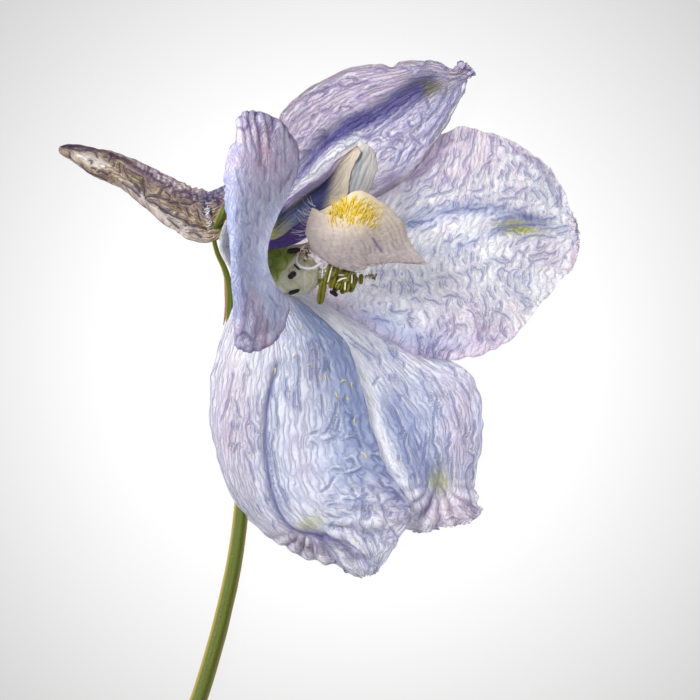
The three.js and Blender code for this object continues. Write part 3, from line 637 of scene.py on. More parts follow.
def sepal(name, stations, size, pattern, material, node, facing, creases, ragged=0.25, notch=None):
    """One sepal. pattern(x, y, u, v) gives its fields and its height off the smooth sheet, in mm; ragged is
    how uneven its margin is, and notch is the place, side and depth of a tear."""
    grid, u, v = sheet(stations, *size)
    side = np.sign(v)
    nibble = ragged * (1.6 * noise(u * 24, side * 3.3, 5) + 0.9 * noise(u * 52, side * 3.3, 9))
    if notch:
        place, torn_side, depth = notch
        nibble = nibble - depth * np.exp(-(((u - place) / 0.012) ** 2)) * (v * torn_side > 0)
    ahead = np.gradient(grid, axis=0)
    ahead /= np.maximum(np.linalg.norm(ahead, axis=2, keepdims=True), 1e-9)
    lobes = 0.55 * noise(v * 6, u * 0, 17) + 0.08 * noise(v * 17, u * 0, 19)
    tip = 4 * ragged * ramp(u, 0.9, 1.0) * lobes * (1 - v**4)
    grid = grid + ahead * tip[..., None]
    grid = shifted_margin(grid, v, nibble * ramp(u, 0.2, 0.4) * (0.35 + 0.65 * ramp(u, 0.5, 0.7)))
    x, y = grid[..., 0], grid[..., 1]
    fields = pattern(x, y, u, v)
    height = fields.pop("height") * ramp(u, 0.02, 0.2)
    edge = np.maximum(np.abs(v) ** 4, ramp(u, 0.85, 1.0))
    height = height + 0.3 * edge * noise(u * 26, v * 7, 15) * ramp(u, 0.2, 0.4)
    grid = grid + sheet_normals(grid) * (facing * height)[..., None]
    margin = np.maximum(np.abs(v), ramp(u, 0.96, 1.0))
    rim = 0.28 * ramp(margin, 0.975, 0.995) * ramp(u, 0.15, 0.3)
    fields["dark"] = np.maximum(fields["dark"], rim)
    for key in ("line", "net", "deep", "warm", "pale", "spot", "dark"):
        fields[key] = np.clip(fields[key] + 0 * u, 0, 1)
    across, along = fields["flow"]
    fields["flow"] = np.stack([across, along, 0 * u], -1)
    fields["fold"] = drawn_creases(x, y, creases)
    finish_piece(slab(name, grid, fields, SEPAL_THICK, facing), material, node)
    return grid


# The creases of the far side sepal, one a line: x and y of its points in mm.
FAR_CREASES = """
15.1 32.3 14.8 31.8 14.6 31.2 14.4 30.6 14.2 30 14 29.2
14.8 31.9 14.5 31 14.3 30.2
13.5 31.2 12.8 30.7 12.4 30.3 12.3 29.8 11.7 29.4 11.2 28.9 11 28.3 10.4 28 9.6 27.9
13.9 29.4 13.4 28.9 12.9 28.4 12.4 28
12.2 27.7 11.8 27.5 11.3 27 10.7 26.6 10.2 26.2
13.6 28.6 13.2 28 12.6 27.4 12 27 11.4 26.6 11.1 26.1 11.1 25.6 10.8 25.2 9.9 25
15.9 32.4 15.7 31.8 15.5 31.2 15.2 30.7 14.7 30.2
16 31.6 15.8 30.9
15.2 30 15 29.4 15 28.9 14.6 28.5 14.4 28 14.3 27.6 13.8 27.2 13.4 26.8 12.9 26.5 12.3 26
15.3 30 15.3 29.2
14.6 29.8 14.4 29 14 28.4
17.2 32.7 17 32.4 16.9 32 17 31.5 17.1 31.1
17.9 32.5 17.8 31.9 17.5 31.4 17.3 31
18.6 32.5 18.5 32 18.4 31.4 18.4 30.8 18.2 30.1 18 29.6 17.7 29.2 17.3 28.8 17.2 28.3 17.2 27.8
16.9 30.1 16.8 29.7 16.6 29.3 16.4 29
16.1 30.4 16.1 29.8 16.1 29 16 28.5 15.5 28.1
16.5 31.3 16.5 30.9
20.3 32 20.5 31.4 20.6 30.7 20.5 30.2 20.7 29.7 20.3 29.2 20.1 29
20.8 31.8 20.8 31
20.6 29 20.3 28.6 20 28.4 19.6 28.1 19.3 27.8 19.1 27.4 18.9 26.9 18.7 26.7
20.4 28.4 20.4 27.8 20.2 27
17.7 28.4 17.9 28 17.9 27.5 17.6 27 17.3 26.7 17.2 26.2 17 25.8 16.8 25.4 16.7 25.1
18.5 27.1 18.2 26.8
18.5 26.5 18.3 25.9
14.9 27.9 14.9 27.3 15 26.9 14.7 26.5 14.6 26.2 14.3 25.7 14.2 25.2 14.1 24.9 13.6 24.7 12.9 24.5 12.5 24.2
15.6 27 15.3 26.6 15.3 26
16.4 27 16.3 26.6 16 26.3 15.9 25.8 16.1 25.6 15.8 25.3 15.4 25.1 14.8 25 14.3 24.6
13.6 26.5 13.4 26.1 13.4 25.7 12.8 25.8 12.4 25.6 12.1 25.3 11.6 24.9 11.2 24.6 10.6 24.3 10.2 24
11.6 25.6 11.9 26.3 12.3 26.3
12.1 24.8 11.8 24.5 11.5 24 11.3 23.6 10.8 23.3 10.2 22.9
10 23.9 9.5 23.5 9.1 23.2
13 23.7 12.9 23.2 12.3 23 11.9 22.7 11.6 22.3
13.8 23.2 13.5 23 13.4 22.7 12.9 22.5
15.8 24 15.2 23.9 14.8 23.6 14.4 23.4 13.9 23.3
16.1 24.1 16.1 23.6 15.9 23.2
16.7 23.9 16.6 23.5 16.4 23.2 16.3 22.9 15.8 22.7 15.1 22.6 14.6 22.4
16.4 24.6 16.6 24.3
17.5 24.8 17.5 24.2 17.6 23.9
18.1 24.4 18.1 24 17.9 23.6 17.8 23.3 17.4 23.2
18.5 24.8 18.6 24.3 19.1 24.3 19.3 23.9
19 23.7 18.7 23.5 18.2 23.4
19.4 26 19.5 25.6 19.3 25.2 18.6 25.2 17.9 25.2
20.5 26.5 20.6 25.9 20.7 25.4
19.6 24.4 19.8 24.8
20.1 24.3 20.5 24.8
20.9 25.2 20.9 24.7
16.8 23 17.4 23.1 18.4 22.9 19.3 23 20.2 23.2
21.6 31.4 21.7 31 21.6 30.7 22.1 30.4 22.3 30.1 22.2 29.6
22.8 31.3 22.8 30.9 23.1 30.4 23.2 29.9 23.1 29.5
24.3 30.5 24.3 30
23.5 30.5 23.6 30 23.8 29.5
24.9 29.7 24.6 29.4 24.8 29.1 25.1 28.9
25.5 29.4 25.3 28.9 25.2 28.5
25.5 29.1 26 29 26.4 28.7 26.7 28.4 26.7 28 26.6 27.7
26 28.6 26.2 28.1 26.4 27.7
21.4 29.2 21.5 28.6
23.1 28.9 23 28.5 23.3 28.2 23.6 28
24 28.8 24.1 28.3 23.9 27.8 23.7 27.3
24.7 28.4 24.8 27.8 24.9 27.3 25.3 26.9 25.4 26.5
24.3 27.7 24.6 27.2 24.8 26.8
22.3 28.4 22.6 28 22.7 27.5 22.4 27.2 22.3 26.8 22.5 26.3
21.9 27.8 21.7 27.2 21.5 26.8 21.2 26.6
23.1 26.4 23.6 26.4
23.2 25.8 23 25.5 22.5 25.3 22 25.1 21.6 25
22.1 26 22.4 25.5
25 25.8 24.6 25.4 24.1 25.3 23.8 25 23.5 24.8 23.5 24.3 23.2 24.4 22.6 24.3 22 24.2 21.5 24
24.7 25.2 24.7 24.6 24.7 24 24.8 23.6
25.4 25.6 25.7 25.1 26 24.7 26.2 24.3 26.5 24
26.2 25.5 26.6 25 27 24.5 27.4 24
25.2 25.3 25.4 25
26.7 27 26.2 26.7 25.9 26.4 25.8 26
27.1 26.9 27.3 26.4 27.5 26 27.7 25.4 27.9 24.8 27.9 24.4
27 27.6 26.8 27.2
27.6 27.8 27.6 27.2
28.1 27.4 28.1 26.8
28.7 25.8 28.8 25.2 28.9 24.6 28.9 24
28.3 24.6 28.5 24 28.2 23.5
28.7 23.6 28.4 23.2
29.6 22.9 29.9 22.5 30 22.2
27.2 23.5 27.5 23.2
27 22.9 26.8 22.5
21.5 24.4 21.3 23.9
22.3 23.9 22.3 23.4 22.1 23.1 21.6 23
22.8 23.7 22.9 23.4
20 23.6 20.6 23.5 21.2 23.2 21.8 23.4 22.3 23.3
23 23.1 23.6 22.9 24.2 23 24.8 23.3 25.1 23.5
25.5 23.7 25.5 23.2
20.9 22.6 20.5 22.3
20.4 20.4 21 20.6 21.6 20.9 22.3 21 23 21.1 23.8 21.1 24.6 21.1 25.4 21.1 26 20.9
20.1 19.4 20.6 19.8 21.2 20.2 21.8 20.5 22.9 20.4 23.5 20.2 23.8 19.9 24.4 19.8
21.4 19.8 22.4 19.9
21.6 21.4 22.2 21.5 22.8 21.8 23.6 21.8
20.4 21.7 21.2 21.6 21.9 21.9 23 22.1
24.1 19.4 24.8 19.6 25.6 19.8 26.6 19.8 27.6 19.6 28.6 19.5
26 21.1 26.8 21.1 27.3 21.2
26.3 20.5 27.2 20.7 28.4 20.7 29.2 20.9 30 21
28.4 20 29.2 20.2 30 20.5
26.6 21.7 27.6 21.8 28.4 22.1
30.8 20.6 30.9 20 31.1 19.4
30.3 19.3 30.4 18.4
10.4 21.2 11 21.4 11.8 21.4 12.5 21.4 13.2 21.6 13.8 21.9
10.4 20.7 11.2 20.8 11.8 21.1 12.6 21.3
13.8 21.4 13.7 21 13.2 20.8 12.5 20.4 12 20.2
15.8 21.8 16.6 21.7
15.6 20.1 15.5 19.6 15.5 19.2 15 19.1 14.7 18.8
17.2 20 16.6 19.7 16.2 19.4
13.9 18.6 13.7 18.2 13.8 17.8 13.6 17.4
13.1 19.5 12.9 19.1
14.6 16.6 14.5 16 14.6 15.3
13.5 15.9 13.4 15.3
12.2 15.8 12.3 15.1 12.2 14.7
10.5 15.7 10.9 15.2 11 14.6 11.1 14.2 11.4 13.9 12 13.8 12.4 13.7
10.2 14.4 10.6 13.8 10.9 13.5 10.8 13.1 10.5 12.7
12.4 14.2 12.8 14 13 13.5 13.1 13 13.3 12.6
13.2 14.5 13.7 14.4
13.9 14.8 14.6 14.8 15.2 14.6
14.3 14.4 14.4 13.8 14.5 13.4
8.6 15.8 8.9 15.5 9 15 9 14.7
8.3 14.2 8.6 13.9 8.5 13.3 8.5 12.7
9.4 14.2 9.8 13.9 9.9 13.4 9.7 12.9 9.5 12.5
7.4 15.9 7.6 15.3 7.3 14.8 7.3 14.3
6.8 15.7 6.9 15.2
7.7 14.1 7.7 13.3
6 13.7 6.7 13.7 6.9 13.3
7.3 13.1 7.1 12.9
5.3 13.2 5 12.9
11.8 13.4 11.4 13 11.3 12.7
9.9 15.4 9.9 14.9
12.4 12.4 12.8 12.1 13.4 12 13.9 11.8 14.2 11.6 14.7 11.5
10.8 12.1 11.5 12.2 11.8 11.9 12.2 11.6
14.6 18.6 15 19 15.8 19.1
16.5 18.9 17.4 18.6 18.2 19.1 18.8 19.2 19.3 19.6
16.5 18.9 16.7 18.2 16.5 17.5 16.3 17
17.4 18.2 17.5 17.6
15.9 17.4 16 16.7 16.2 16
15.5 17.6 15.5 17
17.1 17.1 17.3 16.6 17.6 16.2
18.1 17.9 18.2 17.2 18 16.5
18.8 17.5 18.9 17 18.8 16.6
18.5 19 18.5 18.2
17.3 15.8 17.7 15.2 18 14.6 18 14.2 17.8 13.6 17.6 13.2
16.3 15.3 16.8 15.2 17.3 15
15.3 15.2 15.8 14.8 16.3 14.3 16.6 13.8 16.4 13.4
14.4 14.7 15 14.7 15.5 14.5
14.9 14.4 15.1 13.9 15.5 13.6
16.5 13 16.6 12.6 17.2 12.1 17.6 11.6
14.6 12.4 15.2 12.5 15.7 12.6 16.3 12.4 16.6 12.6
16.5 12.2 16.6 11.6 17.1 11.1
15.5 12.3 15.2 11.6 15.1 11 15.2 10.4
15.8 10.7 16 10.2 16 9.4 16.1 8.6 15.9 7.9 15.4 7.4
15.6 9.6 15.5 9
16.2 9.1 16.9 9.1 17.4 8.9 17.5 8.5
18.4 16.2 18.6 15.9 18.9 15.7 19.4 15.7 19.5 15.2 19.4 14.6 19.3 14.1
18.3 16.3 18 15.4
19.6 16.5 20 16.4 20.1 15.6
20.3 17 20.9 16.9 21.5 16.6 22.2 16.4 22.2 16 22.1 15.7 22.7 15.4 23.1 15.6 23.8 15.6
21.7 17.4 22.2 17 22.7 16.7 23 16.4
22.1 15.9 21.7 15.8 21.4 15.3 21.6 14.7 21.9 14.2
22.8 15.4 22.5 14.9 22.5 14.3 22.7 13.7 22.9 13.5
23.8 15.5 23.3 15.1 23.2 14.5
22.9 16.4 23.1 17 23.5 17.5 23.8 17.9 24.4 17.7 24.5 17.4 24.2 17.2
24.4 17.9 24.9 18.3 25.3 18.7
26.1 19.4 26.3 18.9 26 18.3 26.6 18.4 27.2 18.9
25 17.3 25.8 17.5 26.4 17.6 27 17.8 27.6 17.6 28.2 17.7 28.6 18
25.2 17.3 25.2 16.8 25.8 16.7 26.4 16.9 27.2 17 27.5 17.2
25.1 16.9 25.3 16.4 25.1 16 24.8 15.8
24.1 16.9 24.2 16.2 24 15.7
25.1 15.5 25.2 14.8 25.1 14.2 24.9 13.7 25.3 13.4
24.6 15.7 24.3 15.2 24.4 14.5 24.2 14
23.7 15 23.9 14.5
23.5 14.1 23.5 13.6 23.4 13.1 24 12.8 24.6 12.7
21.9 13.9 21.9 13.4
22.2 13.3 22.5 12.8 23 12.4
20.9 13.9 21 13.4 21.1 12.9
20.1 13.9 20.1 13.3 20.4 12.7 20.7 12.3 20.9 11.9
21.5 12.2 21.7 11.6 21.6 10.9 21.6 10.6
18 13 18.3 12.4 18.2 12 18.5 11.5 18.9 11
18.5 11.7 19.1 11.4
19.3 12.9 19.6 12.2 19.8 11.6 19.9 10.9 19.9 10
20.5 11.3 20.9 10.8 21.4 10.6 22.2 10.2 22.9 9.7
18.9 10.8 19.2 10.2 19.6 9.7 19.7 9.2 19.5 8.6 19.4 8.2
17.5 10.9 18.1 10.7 18.5 10.2 18.6 9.4 18.8 8.8 19.1 8.1 19.4 7.4 19.5 6.8
20.7 10.6 20.7 10 20.8 9.4
21.7 9.9 21.8 9.2 21.6 8.6 22 8 22.5 7.5
22.6 9 22.2 8.6 22.4 8
24 12.4 24.7 12.3 25.4 12
24 12.1 24.4 11.6 24.8 11.3 25.6 11.3
24.8 11.2 24.5 10.8 24.3 10.5
19 8.6 18.9 7.8 19.2 7
27.7 16.3 28.2 16.5 28.9 16.8
29.2 17.4 29.6 17
23.2 19.2 23 18.6 22.9 18.2
23.4 18.5 23.8 19 24.6 19.4 25.4 19.7
20.4 7.8 20.9 7.2 21.5 7.9
20.2 9.8 20.4 9 20.3 8.4
7.1 11.8 7.1 11.3
8.7 11.5 8.6 11 8.4 10.7 9 10.6 9.8 10.6 10.3 10.8 10.6 10.9
10.9 11.1 11 10.6 10.6 10.3 10.8 9.9 11.4 9.8
12.4 10.9 12.7 10.5 12.9 10 13.1 9.6
10.4 9.8 10.6 9.3 10.9 8.9 11.2 8.5
7.2 10 6.6 10.1
5 10.7 5.7 10.6
6.2 9.8 7.4 9.6 8.4 9.4
14.1 9.9 14.1 9.4 14.3 8.8 14.4 8.4
13.5 8.8 13.4 8.2 13.2 7.8 13.4 7.3
11.5 8 11.7 7.2 11.9 6.6 11.8 6 12 5.4
12 7.9 12.3 7.3
13 7 13 6.4 12.7 6 12.8 5.4
13.5 7.2 13.4 6.4 13.5 5.6 13.6 4.9
13.7 6.9 13.7 6.2
14.8 7.9 14.3 7.6 14.1 7.2 13.9 6.7
15.2 6.6 14.9 6.2 14.4 5.9 14.3 5.2
16 6.1 15.5 5.7 15.3 5.2 15.1 4.7
16.9 6.9 16.6 6.4 16.2 6
14.6 9.4 15 9.1 15.3 8.7 15.1 8.3 14.8 8.1
14.5 10.3 14.7 9.9 15.1 9.7
17.2 6 17 5.6
"""


def far_pattern(x, y, u, v):
    """Ribbed above its middle line, netted below it, with a dusky spot near the tip."""
    rib_y = np.interp(x, [-6, 5, 10, 15, 20, 24, 28, 32], [18, 18.6, 21.0, 22.2, 22.4, 21.2, 20.4, 19.8])
    t = y - rib_y
    above = np.maximum(t, 0)
    arched = 1.6 * (1 - ((np.clip(t, -12, 0) + 6) / 6) ** 2)
    across = x - 2.2 * np.sqrt(above) * ramp(22 - x, 0, 9) + arched
    outer = ramp(np.hypot((x - 16) / 15.5, (y - 19) / 14), 0.86, 1.0)
    calm = np.clip(blobs(x, y, (1, (7, 8.5), (7, 2.6), -28), (1, (16, 6.6), (7, 2.2), 0)), 0, 1)
    bands = 0.9 * near_line(x, y, [(2, 17.4), (7, 20), (12, 21.9), (18, 22.9), (22, 22.5)], 1.0)
    bands = bands + 0.45 * near_line(x, y, [(10, 18.2), (14, 17.6), (18, 19.2), (21, 20.6)], 0.8)
    frills = bands * np.sin(2 * np.pi * (x - 1.2 * t) / 0.95 + 2.5 * noise(x * 0.5, t * 0.7, 23))
    fold = near_line(x, y, [(2, 23), (6, 24.6), (9, 26.2), (12, 28.6), (14.2, 31.4)], 1.3)
    dusk = blob(x, y, (24.9, 22.0), (2.4, 0.7), -12)
    slit = near_line(x, y, [(21.4, 20.6), (23.6, 20.9), (26, 21.1)], 0.16)
    crease = near_line(x, y, [(19.5, 9), (20.6, 7), (22, 5.2)], 0.3)
    roll = near_line(x, y, [(24.6, 29.4), (26.4, 28.0), (27.9, 26.0), (28.6, 24.4), (29.0, 22.8)], 0.45)
    mauve = blobs(x, y, (0.45, (16, 29), (8, 4), 0), (0.5, (19, 8.5), (6, 3.5), 0),
                  (0.35, (26.5, 17.5), (3, 2), 0))
    return {
        "flow": (across, t),
        "net": np.maximum(ramp(-t, 0.2, 0.8), ramp(x, 22, 24.5)),
        "line": 0.28 - 0.16 * calm,
        "height": 0.25 * noise(x * 0.3, y * 0.3, 21) - 0.3 * fold - 0.25 * bands + 0.15 * frills,
        "deep": 0.6 * calm + 0.7 * bands + 0.3 * fold + 0.16 * blob(x, y, (9, 13), (8, 5)),
        "warm": mauve + 0.4 * outer + 0.5 * fold,
        "dark": 0.9 * dusk + 0.6 * slit + 0.35 * crease + 0.3 * fold + 0.2 * np.clip(frills + 0.3, 0, 1)
        + 0.3 * roll + 0.1 * ramp(x, 24.5, 28),
        "pale": 0.16 * ramp(-t, 3, 6) * (1 - calm),
        "spot": 1.3 * blob(x, y, (23.8, 20.8), (2.2, 0.8), -6) * (1 - 0.5 * slit),
    }


def spot_folds(x, y, at, count):
    """Folds that spread from a sepal's spot to its margin, -1 to 1."""
    bearing = np.arctan2(y - at[1], x - at[0])
    reach = np.hypot(x - at[0], y - at[1])
    wander = 1.2 * noise(reach * 0.5, bearing * 2, 35)
    return np.cos(count * bearing + wander) * ramp(reach, 1.2, 3.0) * (1 - ramp(reach, 8, 11))


# The creases of the front lower sepal.
FRONT_CREASES = """
-8.8 4.8 -8.7 4.1 -8.4 3.5 -8.6 2.9
-9.1 3.4 -9.2 2.6 -9.2 1.8 -9.2 1
-10.6 3.6 -10.5 2.8 -10.8 1.6 -11 0.4 -11.4 -1 -11.9 -2.6
-10.3 0.2 -10 -0.6 -9.9 -1.5 -9.5 -2.1
-8.7 0.4 -8.5 -0.6 -8.4 -1.6 -8.8 -2.6 -8.9 -3.6 -8.6 -4.6 -8.2 -5.4 -8 -6.4
-8.7 -2.2 -8.1 -2.7 -7.8 -3.2 -7.8 -4
-10.5 -2.2 -10.7 -3.4 -10.8 -4.6 -10.9 -5.6
-10 -2.6 -9.9 -3.6
-9.6 -5 -10.2 -5.6 -10.5 -6.4
-9.2 -6 -8.8 -7 -8.4 -7.6 -8.3 -8.2 -8 -9.2 -7.9 -9.8
-7.3 0.8 -7.6 -0.6 -7.4 -1.8
-7.3 -4 -7.4 -5 -7.3 -6
-5.2 4.2 -5.2 3.1 -5.7 2.4 -5.7 1.2 -5.7 0.2
-6.1 1.6 -6.3 0.4 -6.4 -1 -6.4 -2.4 -6.5 -3.8 -6.4 -5.2 -6.2 -6.8 -6.3 -8 -6.1 -9.4 -5.8 -10.8
-5.8 -10.4 -5.4 -12.2 -5 -13.4 -4.4 -14.3 -3.6 -15.1 -2.6 -15.8 -1.2 -16
-5.3 0.4 -5.3 -1 -5.2 -2.2 -5.1 -3.4
-5.6 -4 -5.8 -5.4 -5.6 -7 -5.3 -8.4 -5.1 -9.8 -4.6 -11.2 -4.2 -12.4 -3.4 -13.4
-4.6 -10.4 -4.1 -11.4 -3.8 -12.2
-4.2 3 -4.1 1.4 -4.2 0
-3.1 1.2 -3.3 -0.4 -3 -1.2
-2.8 5.6 -2.6 3.6 -2.7 1.8 -2.6 0.2 -2.4 -1.4
-1.6 7.2 -1.3 5.6 -1.3 4.2 -1.2 2.4
-1 7.4 -0.6 6 -0.5 4.6 -0.5 3.2 -0.3 2 -0.1 1.2
-0.4 7.6 0.2 6.4 0.5 5.6
0.3 5.2 0.5 4.2 0.3 3.2
1 5 0.9 4 1.3 3.3
0.1 1 0.2 -0.4 0.2 -1.8
1.9 0 1.8 -1 1.5 -2 1.1 -3 0.6 -3.7 0.2 -3.9
-0.2 -3.6 -0.9 -3.9 -1.4 -4
-1.3 -4.9 -0.9 -5 -0.5 -5.4
0.2 -4.9 1 -4.7 1.8 -4.4 2.2 -4
2.3 -2.2 2 -3 1.8 -3.8
3 0.8 2.8 0 3.2 -0.6
2.9 -1.2 3.2 -1.6 3.8 -1.9
3.9 -1.8 3.5 -2.6 3.9 -3.2 3.9 -3.9
3 -4.7 3.8 -4.5 4.6 -4.6
4.3 -4 4.6 -5 5 -5.8
3 -7.2 3.8 -7.1 4 -7.7
6 -6.6 6.8 -6.8 7.2 -7.4
1.3 -8.4 2 -8.2 2.5 -8.3
1.7 -9 1.3 -9.6 1 -10.2 0.4 -10.7 -0.1 -10.9
2.8 -8.9 3.6 -8.7 4.3 -8.5 5 -8.2
4.3 -8.9 4.8 -9.4 5.1 -9.9
2.6 -11.9 3.4 -11.9 4.2 -12 5 -11.6 5.8 -11.2
4.4 -12.2 4 -12.8 3.6 -13.3
2.4 -13.4 3.2 -13.7 3.8 -13.8
0.8 -12.8 1.4 -12.5 2.1 -12.5
0.7 -13.6 1.2 -13.9 1.9 -14.2 2.4 -14
1.7 -14.4 1.2 -15 0.8 -15.4
1.8 -15 2.4 -15.3 2.9 -16
5.1 -11.6 5 -12.6 5 -13.6 4.7 -14.6 5.2 -15.3 5.1 -15.9
6.2 -12.4 5.7 -12.8 5.9 -13.6 5.6 -14.6
5.1 -10.4 5.1 -11.2
3.8 -14.4 3.9 -15.2
3.6 -10.4 4 -11
0.9 -11.6 1.6 -11.4
6.4 -10.2 6.2 -11
-1.2 -16 -0.4 -16.4 0.5 -16.8 1.3 -17.6 1.9 -18.4 2.4 -19.4 3 -20.3
0.6 -15.9 1 -16.8 2 -17.2 3 -17.6 4 -18
0.2 -17 0.9 -18.2 1.2 -19.2
-0.7 -16.6 -0.3 -17.8 -0.4 -18.8
-2 -16.2 -1.9 -17.2 -1.8 -18.2 -1.4 -18.9
-2.6 -16.4 -3 -17.4 -2.8 -18.1
-3.8 -15.6 -3.6 -16.6 -3.2 -17.2
2.4 -16 3 -16.8 4 -17.4 4.8 -18 5.4 -19 6 -20.2
5 -16.4 5.8 -17.8 6.2 -18.8
4.4 -18.2 4.5 -19.4
-7.7 -12.3 -7.2 -13.2 -6.8 -13.6
-6.8 -11 -6.5 -11.9 -6.3 -12.6
-5.7 -14.2 -5.6 -15.2 -5.2 -15.6
6 -16 6.6 -17.2 7 -18.2
7 -9.6 7.6 -10.4 8.6 -10.6 9.4 -11.4 10.2 -12.4
7.2 -12.4 7.6 -13.2 7.7 -14 8.1 -14.8
6.8 -11 6.9 -12
8.2 -11.2 8.9 -11 9 -11.7 8.4 -11.8
8.6 -13.2 8.2 -13.9
9.8 -12.9 10.4 -13.3 10 -13.8
8.2 -15 8.8 -15.8 9.4 -16.4
"""


def lower_near_pattern(x, y, u, v):
    """A groove down its left part, a flap at its foot and folds round its spot. The groove and the tuck near
    its tip are painted darker as shade, the right flank is painted darker and bluer as shade, and the folds
    round the spot are painted lighter on their crests and darker in their troughs, as highlights and shade.
    """
    groove_path = [(-5.2, 4.2), (-5.8, 2.0), (-6.4, -1), (-6.6, -5), (-6.2, -9), (-5.2, -12.8), (-3.4, -15.4),
                   (0.4, -16.6)]
    groove = near_line(x, y, groove_path, 0.42)
    beside = near_line(x, y, groove_path, 1.5)
    # flank and band: painted shade on the right flank, which gives the folded blade its form
    flank = near_line(x, y, [(-1, 10.5), (2.4, 6.5), (4.2, 1.5), (5.4, -3.5), (7.4, -8), (10, -12)], 1.6)
    band = near_line(x, y, [(-1.5, 10.5), (1.2, 5.8), (2.6, 0), (3.0, -5), (4.0, -9)], 2.6)
    tuck = near_line(x, y, [(-1.2, -15.4), (1.5, -17), (4.0, -19.2)], 0.5)
    flap = ramp(y, 12.6, 14.4)
    flap_rim = near_line(x, y, [(-11.3, 21.4), (-12.1, 19), (-11.6, 17), (-10.5, 15), (-9.4, 13.2)], 0.3)
    netted = ramp(x - 0.2 * y, 0.5, 6) * ramp(-y, -1, 5)
    ruffles = spot_folds(x, y, (-1.2, -14.6), 15) * ramp(-y + 0.25 * x, 13.5, 16.5)
    mauve = blobs(x, y, (0.6, (-10.2, -2), (2.6, 8), 0), (0.5, (-3, -17), (4, 1.6), -25),
                  (0.35, (9, -13), (2.6, 3), 0), (0.25, (2, -18.5), (4, 2), 0))
    return {
        "flow": (v * 10.5, u * 42),
        "net": 0.2 + netted * 0.7,
        "line": 0.22 + 0.08 * netted,
        "height": 0.25 * noise(v * 3, u * 6, 31) - 0.45 * groove + 0.2 * beside - 0.3 * tuck + 0.35 * ruffles,
        "deep": 0.5 * flank + 0.45 * band + 0.3,
        "warm": mauve,
        # pale: pale tissue and the flap's pale rim, with painted highlights on the crests of the folds round
        # the spot
        "pale": 0.5 * blob(x, y, (-9.5, 6), (3.0, 6)) * (1 - groove) + 0.5 * np.clip(ruffles, 0, 1)
        + 0.8 * flap_rim * flap,
        # dark: painted shade in the groove, the tuck and the fold troughs and on the flank; the flap is
        # darker too
        "dark": 0.75 * groove + 0.4 * tuck + 0.12 * flank + 0.3 * np.clip(-ruffles, 0, 1)
        + 0.25 * flap * (1 - flap_rim),
        "spot": 0.5 * blob(x, y, (-1.2, -14.9), (1.7, 1.0), 20),
    }


# The creases of the back lower sepal.
BACK_CREASES = """
2.6 8.2 3.6 7.4 4.6 6.6 5.8 5.8 6.8 5
3.4 7 4.4 6.2 5.2 5.6 6 4.6
5.4 7.6 6 6.9 6.4 6.2
7 8.2 8 7.4 9 6.8
7.6 7.2 8.2 6.2 8.6 5.4 8.9 4.6
7 5.6 7.2 4.8 7.1 4
7.1 3 6.6 2.4 6.2 1.6
8.4 3.2 8.2 2.6 8.6 2.2
9 3.2 8.9 2.4
9.2 6.2 9.2 5.2 9.9 4.6 10 3.8
8.6 1.4 8.9 1.2 9.4 0.6 9.6 -0.2
9.7 2.6 10.1 1.8 10.4 0.9 10.8 0.2
11.8 3.8 12.2 3.2 12.6 2.5 12.9 2.1
12 2.2 12.6 1.2 13 0.4 13.1 -0.4
13.4 3 13.9 2.3 14.4 1.4 14.8 0.4
13.6 1 13.9 0.2 13.7 -1 13.5 -2.2 13.6 -3.2
15.2 4.4 16 3.6 16.3 2.6
15.4 1.2 15.8 0.2 16.1 -1 16.5 -2.2 16.6 -3.4
16.7 2.2 17.2 1.4 17.7 0.6 18 -0.2
17.5 4.4 17.9 3.8
17.4 -2.8 17.4 -3.8 17.1 -4.6 17.3 -5.4
18.4 -2.4 18.5 -3.6 18 -4.6 18.4 -5.4
8.8 -1 9.2 -2 9.5 -2.8 9.8 -3.6 9.4 -4.2
14.5 -0.6 14.4 -1.6 14.8 -2.2
15.6 -3.8 15.3 -4.8 15.5 -5.2 15.1 -5.9 15.3 -6.8 15.1 -7.8
11.2 -4.4 11.6 -5.2 11.9 -6
12.6 -3.6 12.7 -4.8 12.4 -6 12.3 -7.4
13.4 -2.8 13.6 -4 13.4 -5 13.9 -6 13.7 -7
10.2 -4 10 -5.2 10.4 -6.4 10.6 -7.6
14.2 -6.2 14.1 -7.4 14.2 -8.1
15.8 -7.4 15.7 -8.6 15.9 -9.8
17.7 -6.2 18.4 -6.8 18.2 -7.6 17.5 -8.6 17.4 -9.6 17.7 -10.8 18 -12 18.5 -12.8 19.3 -13.3
18.2 -8.2 18.4 -9 18.1 -9.8
12.7 -7.2 12.7 -8.6 12.8 -9.8 12.6 -10.6
13.3 -7.6 13.5 -8.8 13.6 -9.4
14.4 -9.8 14.6 -10.6 15 -11.3 14.7 -11.6
10.6 -9 10.8 -10.4 11.2 -11.6 11.4 -12.6
9.2 -6.4 9.4 -7.4
9 -8.8 9.7 -9.4
11.2 -8.6 11.4 -10
12 -12 12.2 -13.2 11.9 -14.4
12.9 -13 12.4 -14
14.6 -13.6 14.3 -14.4 13.9 -15 13.9 -15.6
16.4 -12.4 17.2 -13.2 17.9 -14 18.7 -14.4
17.4 -12.4 18.1 -13.2 18.9 -13.9
15 -14.4 15.8 -14.2 16.8 -14.4
13.2 -14.8 12.9 -15.4
"""


